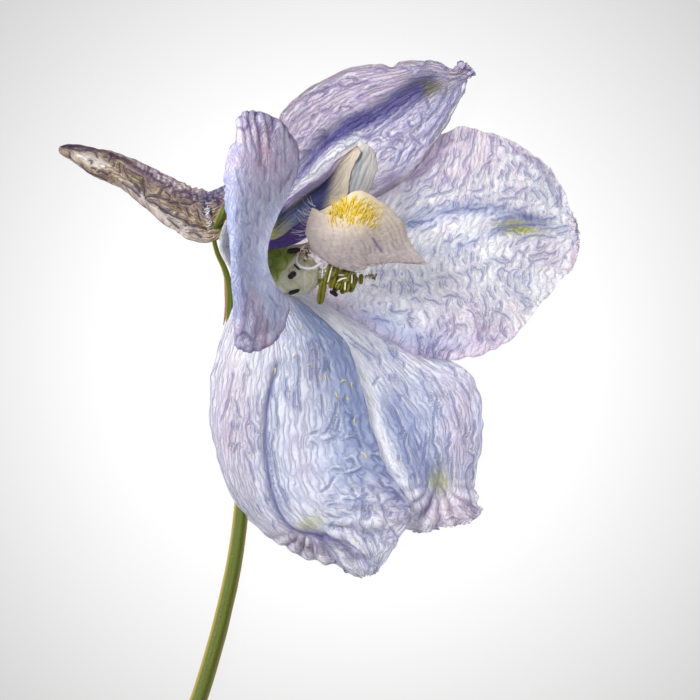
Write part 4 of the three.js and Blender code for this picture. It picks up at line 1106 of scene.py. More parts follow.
def lower_far_pattern(x, y, u, v):
    """A pale band along its left part, a shaded one beside it and folds round its spot. The crease is painted
    darker as shade, and the folds round the spot are painted lighter on their crests and darker in their
    troughs, as highlights and shade.
    """
    pale = near_line(x, y, [(1.6, 9.5), (4.2, 5.5), (5.8, 1), (7, -3.5), (9, -8), (11.5, -12)], 0.85)
    shade = near_line(x, y, [(9, -1.5), (10.4, -4), (11.8, -8), (12.6, -12)], 1.5)
    crease = near_line(x, y, [(14.6, -7.6), (14.1, -10.5), (12.6, -14.2)], 0.4)
    ruffles = spot_folds(x, y, (14.3, -9.9), 14) * ramp(-y, 8.5, 12)
    return {
        "flow": (v * 9, u * 34),
        "net": 0.3 + 0.4 * ramp(-y, 6, 12),
        "line": 0.3 * (1 - 0.35 * pale),
        "height": 0.2 * noise(v * 3, u * 6, 41) - 0.3 * crease + 0.1 * pale + 0.35 * ruffles,
        "deep": 0.8 * shade + 0.45 * ramp(-y, -8, 4) * (1 - pale) * ramp(y, -13, -8) + 0.15,
        "warm": 0.5 * blob(x, y, (17, -3), (2.5, 7)) + 0.8 * blob(x, y, (16, -13.5), (4, 2.4)) + 0.12 * shade,
        # pale: the pale band, with painted highlights on the crests of the folds round the spot
        "pale": 0.6 * pale + 0.5 * np.clip(ruffles, 0, 1),
        # dark: painted shade in the shaded band, the crease and the fold troughs
        "dark": 0.2 * shade + 0.4 * crease + 0.2 * np.clip(-ruffles, 0, 1),
        "spot": 0.8 * blob(x, y, (14.3, -9.8), (1.1, 1.5), 10),
    }


# The creases of the near side sepal.
SIDE_CREASES = """
-8 33.2 -8.2 32.6 -8.3 32 -8.2 31.2
-8.8 34 -8.6 33.4 -8.3 33
-8.2 34.1 -8 33.4 -7.9 32.6
-7.2 33.9 -7 33.2 -7.1 32.5 -7 31.6
-6.9 33.9 -6.6 33.2 -6.4 32.4
-6.3 33.8 -6.1 33 -6.2 32.2 -6 31.4
-5.2 33.3 -5.5 32.6 -5.7 31.8 -5.8 31 -5.7 30.2
-4.9 32.8 -4.9 31.8 -4.8 31
-9.3 33.5 -9 33.1 -8.7 32.8
-8.1 31.4 -8.1 30.6 -7.8 29.8 -7.6 29 -7.7 28.2
-9.3 30.3 -9.6 29.6 -9.5 28.8
-9.9 27.6 -9.8 26.6 -9.5 25.6 -9.3 24.8 -9.1 24
-8.8 27.5 -8.8 26.6
-6.6 28 -6.5 27 -6.7 26
-5.2 30 -5.2 29 -5.4 28 -5.2 27
-4.2 30.2 -4.3 29.2 -4.1 28.2
-4.6 26.4 -4.7 25.4 -4.9 24.6
-7.4 25.4 -7.2 24.6 -7.4 23.8
-8.2 26 -8.4 25.2
-3.2 27.6 -3.8 26.6 -4.4 25.6
-6 25.5 -6 24.5 -6.2 23.5
-9.8 23 -9.9 22 -9.9 21
-8.6 24 -8.8 23 -8.6 22
-7.3 22.6 -7.4 21.6 -7.5 20.6
-8.2 21.2 -8.8 20.6
-9.4 19 -9.4 18 -9.3 17
-8.6 19.6 -8.4 18.6 -8.6 17.8
-7.4 19.6 -7.5 18.6
-9.3 14.6 -9.2 13.6 -9.2 12.4
-8.8 12.8 -8.7 11.8 -8.9 10.8 -8.9 10
-8.2 12 -8 11 -8 10
-7.6 10.2 -7.6 9.4 -7.8 8.6 -7.6 7.8
-6.8 11.4 -6.9 10.4 -7 9.4 -7.2 8.4 -7.5 7.6 -8.2 7.2
-6.4 9.8 -6.2 9 -6.4 8
-5.6 11 -5.4 10 -5.4 9 -5.6 8.2
-8.9 8.5 -8.7 8 -8.9 7.6 -9.4 7.2
-9 7 -8.8 6.6 -9.1 6.2
-8 7 -7.9 6.4 -8 6
-7.5 6.9 -7.4 6.4
-6.2 12.5 -5.6 11.7 -5 11
"""


def near_pattern(x, y, u, v):
    """Pleated lengthwise, fluted at both ends, with a darker back and small curls at its corners. The pleats
    and the flutes' troughs are painted darker as shade, and the crests of the upper flutes are painted
    lighter as highlights.
    """
    upper_fan = ramp(y, 22, 30)
    pleat = near_line(x, y, [(-7.6, 33.8), (-7.2, 31), (-7.0, 28)], 0.3)
    pleat = pleat + near_line(x, y, [(-5.6, 33.2), (-6, 30)], 0.25)
    curls = near_line(x, y, [(-9.9, 7.1), (-9.5, 7.9), (-8.7, 8.0), (-8.2, 7.2)], 0.16)
    curls = curls + near_line(x, y, [(-9.5, 32.2), (-8.9, 32.0), (-8.5, 32.8), (-8.8, 33.6)], 0.16)
    flutes = np.cos(2 * np.pi * (x + 0.15 * y) / 0.95 + 1.5 * noise(x, y * 0.4, 53)) * ramp(y, 28, 33)
    flutes = flutes + 0.7 * np.cos(2 * np.pi * (x - 0.1 * y) / 1.3) * ramp(-y, -12, -8)
    waist = blob(x, y, (-7.5, 15.5), (2.0, 4.0))
    fan_middle = near_line(x, y, [(-7.2, 31), (-6.4, 26), (-5.8, 22)], 1.6)
    low_middle = near_line(x, y, [(-8.2, 12.8), (-7.2, 9.4), (-6.6, 7)], 0.8)
    back = near_line(x, y, [(-11.6, 26), (-11.3, 21), (-10.9, 16), (-10.3, 11)], 1.1)
    return {
        "flow": (x + 0.12 * (y - 18), y),
        "net": 0 * x,
        "line": 0.14 + 0.3 * pleat,
        "height": 0.12 * noise(x * 0.7, y * 0.3, 51) - 0.15 * pleat + 0.14 * flutes,
        "deep": 0.35 + 0.3 * waist + 0.2 * blob(x, y, (-5, 10.5), (1.6, 3)) + 0.4 * back,
        "warm": 0.7 * upper_fan * fan_middle + 0.35 * upper_fan + 0.5 * low_middle + 0.3 * ramp(-y, -13, -8),
        # pale: painted highlights on the crests of the upper flutes
        "pale": np.clip(flutes, 0, 1) * ramp(y, 28, 31),
        # dark: painted shade in the pleats and the flutes' troughs, with the darker margin, curls and back
        "dark": 0.4 * pleat + 0.4 * np.clip(-flutes, 0, 1) + 0.5 * ramp(np.abs(v), 0.955, 0.99) + 0.7 * curls
        + 0.3 * blob(x, y, (-8.8, 32.4), (0.4, 0.8)) + 0.06 * ramp(y, 16, 24) + 0.1 + 0.12 * back,
        "spot": 0 * x,
    }


# The creases of the hood.
HOOD_CREASES = """
-2.6 26.6 -1.7 27.9 -0.8 28.9 0.3 30.2 1.6 31.6 2.6 32.5 4 33.3 6 34.6
2.9 32.1 4 32.8 5.2 33.4 6 33.6
5.4 31.2 6.5 32 8 33.1 9.5 34.3 11 35.6 12.2 36.6
-2.8 26 -1.6 27.2 -0.7 28.4 0.3 29.6 1.4 30.6 2.6 30.8 3.2 30.4
-1.3 27 -0.4 27.6 0.3 28.5 1.3 29 2.2 29.7 3.4 30.5 4.4 31.1
2 31.4 3 31.8 4 31.8 5 31.6 6.2 32
-3.8 24.6 -2.9 25.8 -2 26.8 -1.2 27.2
-2.9 30.9 -2.4 31.4 -1.6 31.6
-2.6 29.8 -1.8 29.9 -0.8 29.8
-2.2 32.2 -1.6 32.6 -1 33.2
-1.2 33.8 -0.8 34.1 -0.4 34.3
-0.6 32.3 0.2 32.4 0.8 32.1
-1.1 31.2 -0.6 31.3 0.2 31.6 1 31.4
-3.6 33.4 -3 33.8 -2.4 34.4 -1.8 34.9 -1.2 35.2
-1.9 35.6 -1.4 35.9
0.1 34.4 0.4 34.8 1 35 1.5 35.4
0.2 36.2 0.6 36.8 1 37.1
1.6 34.2 2.2 34.8 2.6 35.6
-1.4 36.4 -0.8 36.8 0 37 0.8 36.9
0.1 37.3 0.9 37.4 1.6 37.6 2.2 37.5
2.1 37.9 3 37.6 4 38 5 38.1 5.8 38.4
3 38.4 3.8 38.6 4.6 38.4
4.2 36.2 4.8 36.6 5.3 36.8
5.4 37.2 6 37.6 6.8 37.8
2.9 35.1 3.4 35.3 3.8 34.9
4 34.5 4.8 34.3 5.4 34.8
3.2 33.6 4.2 33.9 5 34.1
6.2 36.4 7.2 36.6 8 36.9
6.4 39.6 7.4 39.6 8.2 39.4
9.4 39.9 10.2 39.7 10.8 39.4
11.4 40.2 12.2 40 12.6 40.3 12.9 40.8
11.4 39.2 12 39.4 13 39.5 14 39.3
14.4 40.2 15 39.8 15.3 39.4
10.5 38.4 12.4 38.6 14.4 38.7 16.2 38.5 17.6 38.7
17 38.2 16.4 36.4 15.4 34.6 14.2 32.6 13 30.8
16.2 37.8 15.4 35.9 14.4 34.2 13.2 32.4 12.2 31.4
15.2 37.6 14.3 35.6 13.4 34.4 12.6 33.6
10.5 33.7 10.6 33 11.2 32.8
11.9 34.6 12.1 33.6 11.6 32.4
7.8 32.3 8.4 31.6 9 31.9 9.8 32.2
8.1 30.8 8.8 31.2 9.6 31.3 10 30.9
7.6 30.4 8.4 30.4 9.2 30.1
6.2 31 6.8 31.4 7.4 31
7 28.9 7.3 29.6 8 30.2
8.6 29.4 8.3 28.6
9.8 30.1 9.4 29.2 9 28.4
10.6 32.2 11.4 31.2 12.2 30.6
10.2 28.6 10.8 29.6 11.4 30.4
12.6 36.2 12.9 35.4 12.9 34.8
16.2 40.1 16.8 40.7 17.6 40.3
16.4 39.7 17.4 39.8 18.2 39.4 18.6 39.1
"""


def hood_pattern(x, y, u, v):
    """Folded along a valley that is painted darker and bluer as shade, with a dark band in it, a bright ridge
    beside it and an olive spot.
    """
    valley_path = [(-4.2, 24.6), (-2.5, 27.2), (-0.9, 29.5), (1.4, 31.7), (4.2, 33.2), (7.2, 34.6),
                   (10.4, 36.8), (13.4, 38.4)]
    # the valley is lowered in the relief and painted darker and bluer, as shade in the fold
    valley = near_line(x, y, valley_path, 1.05)
    core = near_line(x, y, [(0.5, 30.9), (4, 32.8), (7, 33.6), (9.6, 35), (12, 37)], 0.8)
    bright = near_line(x, y, [(-3.2, 25), (0, 28.0), (2.4, 30.2), (4.4, 31.4)], 0.75)
    violet_path = [(-4.2, 24.4), (-2.9, 26.0), (-1.7, 27.5), (-0.4, 29.2), (1.0, 30.6), (3.0, 31.8)]
    violet = near_line(x, y, violet_path, 0.5)
    foot = ramp(-x, 9.4, 10.8)
    band = near_line(x, y, [(3.5, 32.6), (6.5, 34.2), (9.2, 35.8), (11.5, 37.2)], 1.15)
    middle = np.interp(x, [-4, 0.5, 5, 9, 14, 18], [24, 30.2, 33.2, 35, 38, 39])
    lower = ramp(middle - y, -0.6, 1.2)
    return {
        "flow": (v * 10, u * 38),
        "net": 0.1 + 0.45 * lower,
        "line": 0.35 * (1 - ramp(u, 0.9, 1.0)),
        "height": 0.2 * noise(v * 3, u * 7, 61) - 0.5 * valley + 0.25 * bright,
        "deep": 0.7 * valley + 0.75 * band + 0.3 * lower * ramp(x, 6, 12) + 0.15 + 0.5 * ramp(-x, 7, 9),
        "warm": 0.45 * (1 - lower) * (1 - valley) + 0.25,
        "pale": 1.1 * bright + 0.7 * foot * ramp(noise(x * 3 + 9, y * 3, 69), 0.1, 0.45),
        "dark": 0.35 * core + 0.25 * valley + 0.5 * band + 0.7 * violet * (1 - bright)
        + foot * ramp(noise(x * 3, y * 3, 67), -0.25, 0.35),
        "spot": 1.2 * blob(x, y, (12.6, 37.3), (2.3, 0.9), 14)
        + 0.45 * ramp(np.abs(v), 0.92, 0.99) * (1 - foot) + 0.4 * foot,
    }


POLLEN = [  # where it lies on the front lower sepal, its direction in degrees and its length
    ((-3.2, 5.3), 60, 0.5), ((-2.3, 8.6), 110, 0.4), ((-3.7, 10.4), 40, 0.5), ((0.6, 2.7), 100, 0.7),
    ((2.1, 0.6), 120, 0.8), ((2.8, 2.2), 20, 0.8), ((3.9, 1.8), 95, 0.7), ((3.3, 0.1), 150, 0.5),
    ((4.2, -2.4), 90, 0.5), ((5.3, -6.7), 130, 1.0), ((3.9, -10.2), 10, 0.4), ((4.1, -17.0), 100, 0.4),
    ((-5.4, 3.5), 85, 0.7), ((-1.4, 4.3), 30, 0.4),
]


def make_pollen(front, side):
    """Yellow flecks of pollen on the front lower sepal, and a crumb of it on the near side sepal."""
    gold = ramp_material("pollen", [(0, 226, 200, 70), (1, 240, 222, 130)], 0.2, scale=(1, 1, 1))

    def level(grid, x, y):
        """The height of the sheet at x and y."""
        far = np.hypot(grid[..., 0] - x, grid[..., 1] - y)
        return grid.reshape(-1, 3)[np.argmin(far), 2]

    parts = []
    for (x, y), turn, length in POLLEN:
        way = np.array([math.cos(math.radians(turn)), math.sin(math.radians(turn)), 0]) * length / 2
        at = np.array([x, y, level(front, x, y) + 0.3])
        own_bend = 0.45 * math.sin(turn)
        bend = np.array([-way[1], way[0], 0.1]) * own_bend
        parts.append(rod([[at - way, 0.03], [at + bend, 0.065], [at + way, 0.04]], 8, 10))
    finish_piece(rods("pollen_flecks", parts, lengthwise), gold, "lower_sepal_near")

    def lumpy(t, a):
        return 1 + 0.3 * noise(t * 3, a, 261)

    at = np.array([-6.7, 18.75, level(side, -6.7, 18.75) + 0.25])
    rings = [[at - (0.0, 0.42, 0), 0.12], [at, 0.26, 0.12], [at + (0.0, 0.4, 0), 0.14]]
    finish_piece(tube("pollen_crumb", rings, 12, 12, lumpy, lengthwise), gold, "lateral_sepal_near")


def make_sepals():
    yellow_spot = (186, 188, 84)
    sheer = sepal_material(
        "sheer_sepal", light=(255, 255, 255), mid=(250, 251, 255), crease=(98, 106, 158),
        deep=(146, 164, 214), warm=(246, 214, 232), spot=yellow_spot, mauve_crease=(124, 102, 152),
        through=0.82, lines=(1.1, 3.4), net=(0.9, 2.2), seed=0.0, bump=0.62, ink=0.76)
    lavender = sepal_material(
        "lavender_sepal", light=(242, 242, 246), mid=(201, 202, 217), crease=(94, 102, 150),
        deep=(148, 164, 200), warm=(230, 204, 218), spot=yellow_spot,
        through=0.72, lines=(0.6, 2.6), net=(0.9, 1.8), seed=30.0, bump=0.42, ink=0.72)
    dense = sepal_material(
        "periwinkle_sepal", light=(246, 246, 252), mid=(204, 209, 234), crease=(108, 114, 160),
        deep=(166, 182, 220), warm=(228, 196, 214), spot=yellow_spot,
        through=0.64, lines=(0.35, 2.2), net=(0.45, 0.6), seed=50.0, bump=0.28, ink=0.6)
    violet = sepal_material(
        "violet_hood", light=(255, 255, 255), mid=(216, 211, 234), crease=(86, 84, 142), deep=(112, 120, 180),
        warm=(232, 208, 232), spot=(126, 122, 70), mauve_crease=(98, 92, 148),
        through=0.72, lines=(0.9, 3.5), net=(1.1, 2.6), seed=80.0, bump=0.6, ink=0.65)
    sepal("far_side_sepal", FAR, (238, 200), far_pattern, sheer, "lateral_sepal_far", 1, FAR_CREASES,
          ragged=0.3, notch=(0.815, 1, 0.6))
    side = sepal("near_side_sepal", NEAR, (130, 170), near_pattern, dense, "lateral_sepal_near", -1,
                 SIDE_CREASES, ragged=0.12)
    front = sepal("front_lower_sepal", LOWER_NEAR, (206, 146), lower_near_pattern, lavender,
                  "lower_sepal_near", -1, FRONT_CREASES)
    sepal("back_lower_sepal", LOWER_FAR, (184, 124), lower_far_pattern, lavender,
          "lower_sepal_far", -1, BACK_CREASES)
    make_pollen(front, side)
    sepal("hood_sepal", HOOD, (220, 190), hood_pattern, violet, "upper_sepal_with_spur", 1,
          HOOD_CREASES, ragged=0.12, notch=(0.735, -1, 0.7))


# ---------------------------------------------------------------- spur
SPUR = [
    [[-31.35, 30.3, 0.35], 0.3, 0.3],
    [[-30.8, 30.05, 0.5], 0.7, 0.5],
    [[-29.2, 29.6, 0.9], 1.15, 0.85],
    [[-27.2, 28.75, 1.45], 1.65, 1.0],
    [[-25.0, 27.95, 2.0], 1.85, 1.1],
    [[-22.6, 26.8, 2.6], 1.95, 1.2],
    [[-20.2, 25.3, 3.1], 2.25, 1.3],
    [[-17.8, 23.8, 3.4], 2.65, 1.3],
    [[-15.8, 22.7, 3.5], 2.9, 1.3],
    [[-14.2, 21.9, 3.6], 2.95, 1.2],
    [[-12.9, 22.0, 4.3], 2.7, 1.1],
    [[-11.6, 22.9, 5.0], 1.9, 1.0],
    [[-10.6, 23.5, 5.4], 1.3, 0.8],
]
# The dark folds of the spur's upper side.
SPUR_CREASES = """
-31.2 30.5 -30.6 30.85 -29.6 30.75 -28.6 30.65 -27.6 30.5 -26.6 30.2 -25.6 29.95
-30.4 30.2 -29.6 30.15 -28.8 29.95 -28.2 30.1 -27.4 30.1 -26.6 30.2
-30.9 30.8 -30.8 30.3
-30.4 29.9 -30.1 29.7 -30.1 29.2 -29.9 29
-28.4 30 -27.6 29.9 -27 29.7 -26.8 29.3 -26.6 29
-26.2 29.1 -25.4 29.15
-25 29.8 -25 29.4 -25.2 29 -25.4 28.5
-25.4 29 -24.8 28.95 -24 29 -23.4 28.9 -22.8 28.5 -22.2 28.1 -21.6 27.7 -21 27.4 -20.4 27
-25 28.8 -24.7 28.4 -24.9 27.9
-24 28.6 -24.1 28.1 -24 27.6 -24.15 27.1
-23.6 28.2 -23.5 27.6 -23.2 27 -22.9 26.4
-27.6 27.9 -27 27.7 -26.9 27.5
-26.9 27.3 -26.4 27.45 -26 27.35 -25.6 27.1 -25.2 27.2 -24.9 27.5
-25.9 27.9 -25.5 27.9
-27.9 28.9 -27.4 28.6 -27.6 28.2
-23.5 27.8 -22.6 27.4 -21.8 27 -21.2 26.8
-22.9 26.5 -22.4 26.1 -22 25.9 -21.7 25.4 -21.4 24.9
-21.2 26.8 -21.2 26 -21.05 25.2 -21 24.4 -20.7 23.8
-28.8 28.4 -28.4 27.8 -27.8 27.3 -27 27 -26.2 26.7 -25.4 26.3
-24.9 26.4 -24.7 26.1
-22.4 25.9 -21.8 25.2 -21.5 24.6
-23.9 26.2 -23.3 25.7 -22.6 25.3 -22 24.8 -21.4 24.2
-21 24.3 -20.4 24.4 -19.8 24.4 -19.2 24.25 -18.6 24 -18.2 24 -17.9 23.7 -17.4 23.65 -16.8 23.7
-16.8 23.7 -16.2 23.5 -15.6 23.45 -15 23.7 -14.4 23.85 -13.9 23.75 -13.5 23.3 -13.1 22.8
-19.4 24.4 -19.1 24.9 -18.9 25.3 -18.4 25.5 -17.9 25.7 -17.5 25.8
-18.6 25.1 -18.3 24.8 -18 24.4 -18 23.8
-20.1 26.4 -19.6 26.3 -18.9 26 -18.4 25.9
-20.4 27.2 -20.1 26.8 -19.8 26.4
-17.6 25.3 -17 25 -16.2 25.1 -15.6 25.1 -15.4 25.4
-17 24.6 -16.4 24.9 -15.8 24.8 -15.4 24.6 -14.8 24.7 -14.4 24.7
-16.4 24.4 -15.8 24.2 -15.2 24.2
-16.9 24.2 -16.2 24.4
-15.6 23.9 -15.1 24.2
-14.9 24.5 -14.4 24.3 -13.8 24.3 -13.4 24.1
-13.6 24.4 -13 24.2 -12.4 24.2 -11.9 24.4
-12.9 23.8 -12.4 23.7 -12 23.4
-12.6 24 -12.2 23.9 -11.9 23.7
-17.8 25 -17.4 24.7 -17.4 24.2
-14.2 23.6 -14 22.8 -13.9 22.2 -13.5 21.7 -13 21.2 -12.7 20.8
-13.9 23.6 -13.5 23 -13.2 22.4 -12.8 22
-14.8 23 -14.6 22.4 -14.5 21.8 -14.2 21.3
-16.1 23.2 -15.9 22.7 -15.7 22.2 -15.5 22
-17 23.3 -16.8 22.9 -16.5 22.5
-20.9 24 -20.2 23.7 -19.4 23.3 -18.8 22.9 -18.3 22.7 -17.6 22.7
-19.4 23.2 -18.8 22.6 -18 22.3 -17.2 21.9 -16.6 21.7 -16 21.5 -15.6 21.6
-16.4 21.6 -15.9 21.2 -15.6 20.9 -15 20.8 -14.4 20.8 -13.8 20.5 -13.4 20.2
-18.4 21.9 -17.9 21.4 -17.4 21 -17 20.6 -16.8 20.4
-17.4 22.3 -16.8 22.2
-15.9 20.1 -15 20 -14.5 19.7 -14.1 19.3
-16.3 21.1 -16 20.7
"""


def make_spur():
    """The withered spur behind the hood, with dark folds and painted shade beside them, painted shade along
    its upper side and in a few patches, pale glints that are painted highlights, and a froth along its upper
    edge.
    """
    def crumple(t, a):
        upper = ramp(np.cos(a), 0.3, 0.9) * ramp(t, 0.45, 0.6)
        broad = 0.07 * noise(t * 12 + 0.5 * a, 1.5 * np.cos(a), 141)
        fine = 0.04 * noise(t * 34, 3 * np.cos(a + t), 151)
        folds = upper * 0.16 * noise(t * 45, 2 * np.cos(a), 153)
        return 1 + (broad + fine) + 0.03 * np.sin(3 * a + 18 * t) + folds

    def fields(t, a, points):
        x, y = points[:, 0], points[:, 1]
        patches = ramp(noise(x * 1.1, y * 1.1, 159), -0.35, 0.45)
        fold = drawn_creases(x, y, SPUR_CREASES, 0.06)
        fold[:, 1] *= ramp(np.sin(a), -0.3, 0.1)
        # painted shade beside each fold
        beside = np.exp(-((fold[:, 0] / 0.42) ** 2)) * fold[:, 1]
        # painted highlights: the pale glints
        light = np.clip(blobs(
            x, y, (1, (-28.0, 29.0), (1.9, 0.6), -20), (1, (-26.6, 28.5), (1.3, 0.5), -30),
            (1, (-18.0, 21.7), (3.4, 0.75), -40), (1, (-21.6, 24.6), (1.1, 0.35), -60),
            (0.7, (-23.0, 25.6), (1.2, 0.5), -35), (0.6, (-14.6, 19.7), (2.0, 0.5), -40),
        ), 0, 1)
        # painted shade along the upper side and in a few patches
        painted_shade_patches = near_line(x, y, [(-31, 30.6), (-28, 30.4), (-25, 29.5), (-22.5, 28.3), (-20.5, 27.0)], 0.4)
        painted_shade_patches = painted_shade_patches + blobs(
            x, y, (0.8, (-20.6, 26.0), (0.9, 1.3), 10), (0.9, (-17.0, 23.7), (1.2, 0.35), 0),
            (0.9, (-13.2, 22.9), (0.8, 0.5), -50), (1, (-12.1, 23.8), (0.6, 0.4), 30),
        )
        olive = blobs(
            x, y, (1, (-22.2, 26.5), (1.2, 0.5), -30), (1, (-13.6, 20.7), (1.4, 0.5), -20),
            (1, (-18.2, 23.3), (1.7, 0.3), -12), (0.7, (-21.4, 25.6), (0.3, 0.8), 0),
            (0.6, (-25.6, 27.0), (2.4, 0.35), -22), (0.8, (-16.6, 21.6), (1.6, 0.3), -25),
            (0.7, (-19.4, 25.4), (0.9, 0.4), 10), (0.5, (-17.4, 24.6), (0.4, 0.6), 0),
        )
        edge = [(-22, 28.2), (-20, 27.2), (-18, 26.0), (-16, 25.2), (-14, 24.4), (-11.4, 24.4)]
        froth = near_line(x, y, edge, 0.75) * ramp(x, -25, -21)
        foam = ramp(noise(x * 2.6, y * 2.6, 163), -0.1, 0.35)
        outline = ramp(np.abs(np.cos(a)), 0.95, 0.985)
        return {
            "flow": np.stack([5 * np.sin(a - 2 * t) + 9 * t, 20 * t + 2 * np.cos(a), 0 * t], -1),
            "net": 0.5 + 0 * t,
            "line": 0.45 - 0.25 * light,
            "deep": np.clip(olive, 0, 1),
            "warm": np.clip(0.9 * froth + 0.5 * outline, 0, 1),
            "dark": np.clip(0.46 * beside + 0.8 * painted_shade_patches * (0.6 + 0.4 * patches) * (1 - froth) + 0.3 * outline
                            + 0.5 * froth * (1 - foam) * (1 - patches), 0, 1),
            "pale": np.clip(0.5 * light + 0.6 * froth * foam, 0, 1),
            "spot": 0 * t,
            "fold": fold,
        }

    tan = sepal_material(
        "withered_spur", light=(222, 202, 172), mid=(152, 128, 98), crease=(54, 36, 58), deep=(112, 98, 20),
        warm=(134, 96, 160), spot=(120, 120, 60), mauve_crease=(60, 38, 70),
        through=0.55, lines=(0.6, 1.8), net=(0.9, 1.5), seed=120.0, bump=0.5, ink=0.95)
    finish_piece(tube("spur", SPUR, 120, 300, crumple, fields), tan, "upper_sepal_with_spur")


# ---------------------------------------------------------------- stalk and receptacle
STALK = [
    [[-16.5, -40.4, 1.0], 1.03],
    [[-14.6, -36.0, 1.0], 1.0],
    [[-12.7, -29.8, 0.98], 0.98],
    [[-11.4, -24.7, 0.95], 0.95],
    [[-10.35, -19.7, 0.92], 0.92],
    [[-9.6, -14.4, 0.9], 0.88],
    [[-9.2, -9.0, 0.9], 0.84],
    [[-9.1, -4.0, 0.95], 0.8],
    [[-9.5, 1.0, 1.05], 0.75],
    [[-10.2, 6.0, 1.3], 0.68],
    [[-10.8, 10.0, 1.8], 0.58],
    [[-10.8, 13.0, 2.4], 0.5],
    [[-11.4, 15.6, 3.0], 0.36],
    [[-12.3, 17.6, 3.6], 0.3],
    [[-12.75, 19.4, 4.2], 0.28],
    [[-12.75, 20.7, 4.6], 0.34],
    [[-12.1, 21.2, 4.75], 0.55],
]
BRACTEOLE = [
    [[-11.5, 15.2, 2.9], 0.05],
    [[-11.35, 13.4, 2.5], 0.16],
    [[-11.3, 11.2, 2.1], 0.18],
    [[-11.6, 9.0, 1.6], 0.05],
]
RECEPTACLE = [(-2.6, 0.1), (-2.3, 0.5), (-1.4, 0.95), (-0.5, 1.35), (0.5, 1.35), (1.2, 1.1), (1.9, 0.75)]
SHOULDER = [
    [[-12.6, 20.6, 4.9], 0.25],
    [[-12.2, 21.2, 5.6], 0.42],
    [[-11.85, 21.9, 6.0], 0.55],
    [[-11.6, 22.6, 6.1], 0.5],
    [[-11.4, 23.3, 6.0], 0.25],
]


def make_stalk():
    green = ramp_material("stalk_skin", [
        (0, 56, 68, 12), (0.35, 94, 104, 24), (0.65, 124, 124, 46), (1, 178, 138, 70),
    ], 0.3, (0.35, 0.5), (60, 5, 1), bump=0.04)
    dry = ramp_material("dry_bract", [(0, 126, 84, 74), (1, 196, 152, 132)], 0.3, scale=(8, 2, 1))

    def fields(t, a, points):
        flank = np.abs(np.cos(a)) ** 3
        stripe = 0.5 + 0.5 * np.cos(6 * a)
        return {"tone": np.clip(0.25 + 0.75 * flank - 0.25 * stripe * (1 - flank), 0, 1)}

    def ribbed(t, a):
        return 1 + 0.03 * np.cos(6 * a) + 0.02 * noise(t * 30, a, 171)

    def knobbly(t, a):
        return 1 + 0.05 * noise(t * 6, 2 * a, 181)

    def lumpy(t, a):
        return 1 + 0.12 * noise(t * 5, 2 * a, 183)

    rings = [[ring_point(f, 0, 0), r] for f, r in RECEPTACLE]
    finish_piece(tube("stalk", STALK, 40, 220, ribbed, fields), green, "stem")
    finish_piece(tube("bracteole", BRACTEOLE, 16, 40, None, fields), dry, "stem")
    finish_piece(tube("receptacle", rings, 40, 40, knobbly, fields), green, "stem")
    finish_piece(tube("receptacle_shoulder", SHOULDER, 32, 30, lumpy, fields), green, "stem")


# ---------------------------------------------------------------- petals of the bee
UPPER_PETAL_NEAR = [
    foot_station(PETAL_START, PETAL_RING, 62, 0.55),
    [[-6.2, 20.9, 6.6], [-6.0, 19.9, 6.5], [-5.7, 19.0, 6.8]],
    [[-4.8, 23.2, 7.0], [-3.6, 22.0, 5.9], [-2.6, 20.8, 6.9]],
    [[-2.6, 25.1, 7.3], [-1.2, 23.9, 5.8], [-0.3, 22.7, 7.5]],
    [[0.2, 27.0, 7.8], [1.5, 25.9, 6.6], [3.0, 24.2, 8.3]],
    [[2.4, 29.2, 8.2], [3.0, 28.2, 7.7], [3.6, 26.9, 8.6]],
    [[4.4, 30.5, 8.5], [4.6, 30.2, 8.3], [4.9, 29.7, 8.7]],
]
UPPER_PETAL_FAR = [
    foot_station(PETAL_START, PETAL_RING, 118, 0.55),
    [[-5.2, 20.2, 4.0], [-5.0, 19.4, 3.8], [-4.7, 18.6, 3.9]],
    [[-2.0, 22.4, 4.2], [-1.2, 21.2, 3.8], [-0.4, 20.0, 4.2]],
    [[2.0, 25.0, 7.5], [3.0, 23.4, 7.4], [4.4, 22.2, 7.0]],
    [[3.2, 27.3, 8.1], [4.6, 26.2, 8.35], [5.9, 25.0, 7.9]],
    [[4.0, 29.6, 8.2], [5.4, 28.5, 8.2], [6.85, 27.9, 8.2]],
    [[4.9, 30.75, 8.0], [6.0, 30.35, 8.4], [6.72, 29.3, 8.3]],
]
BEARDED_PETAL = [
    foot_station(PETAL_START, PETAL_RING, -4, 0.5),
    [[-5.0, 19.4, 8.0], [-4.7, 18.8, 8.0], [-4.4, 18.25, 8.0]],
    [[-2.4, 21.3, 9.0], [-1.8, 20.6, 9.1], [-1.3, 19.8, 9.0]],
    [[2.0, 23.6, 10.6], [1.4, 22.0, 11.0], [-0.9, 22.9, 10.4]],
    [[4.6, 25.0, 10.8], [3.6, 21.4, 11.9], [-1.5, 21.0, 10.2]],
    [[7.4, 23.6, 10.4], [4.6, 20.0, 11.8], [-1.6, 19.4, 9.9]],
    [[10.0, 21.2, 9.6], [5.2, 18.6, 11.0], [-0.6, 17.6, 9.5]],
    [[11.0, 18.4, 9.0], [5.6, 17.4, 10.2], [1.2, 16.3, 9.3]],
    [[12.7, 16.5, 8.3], [6.6, 16.6, 9.6], [3.2, 15.6, 9.1]],
    [[11.6, 16.3, 8.6], [7.2, 16.3, 9.3], [4.8, 15.2, 9.0]],
]
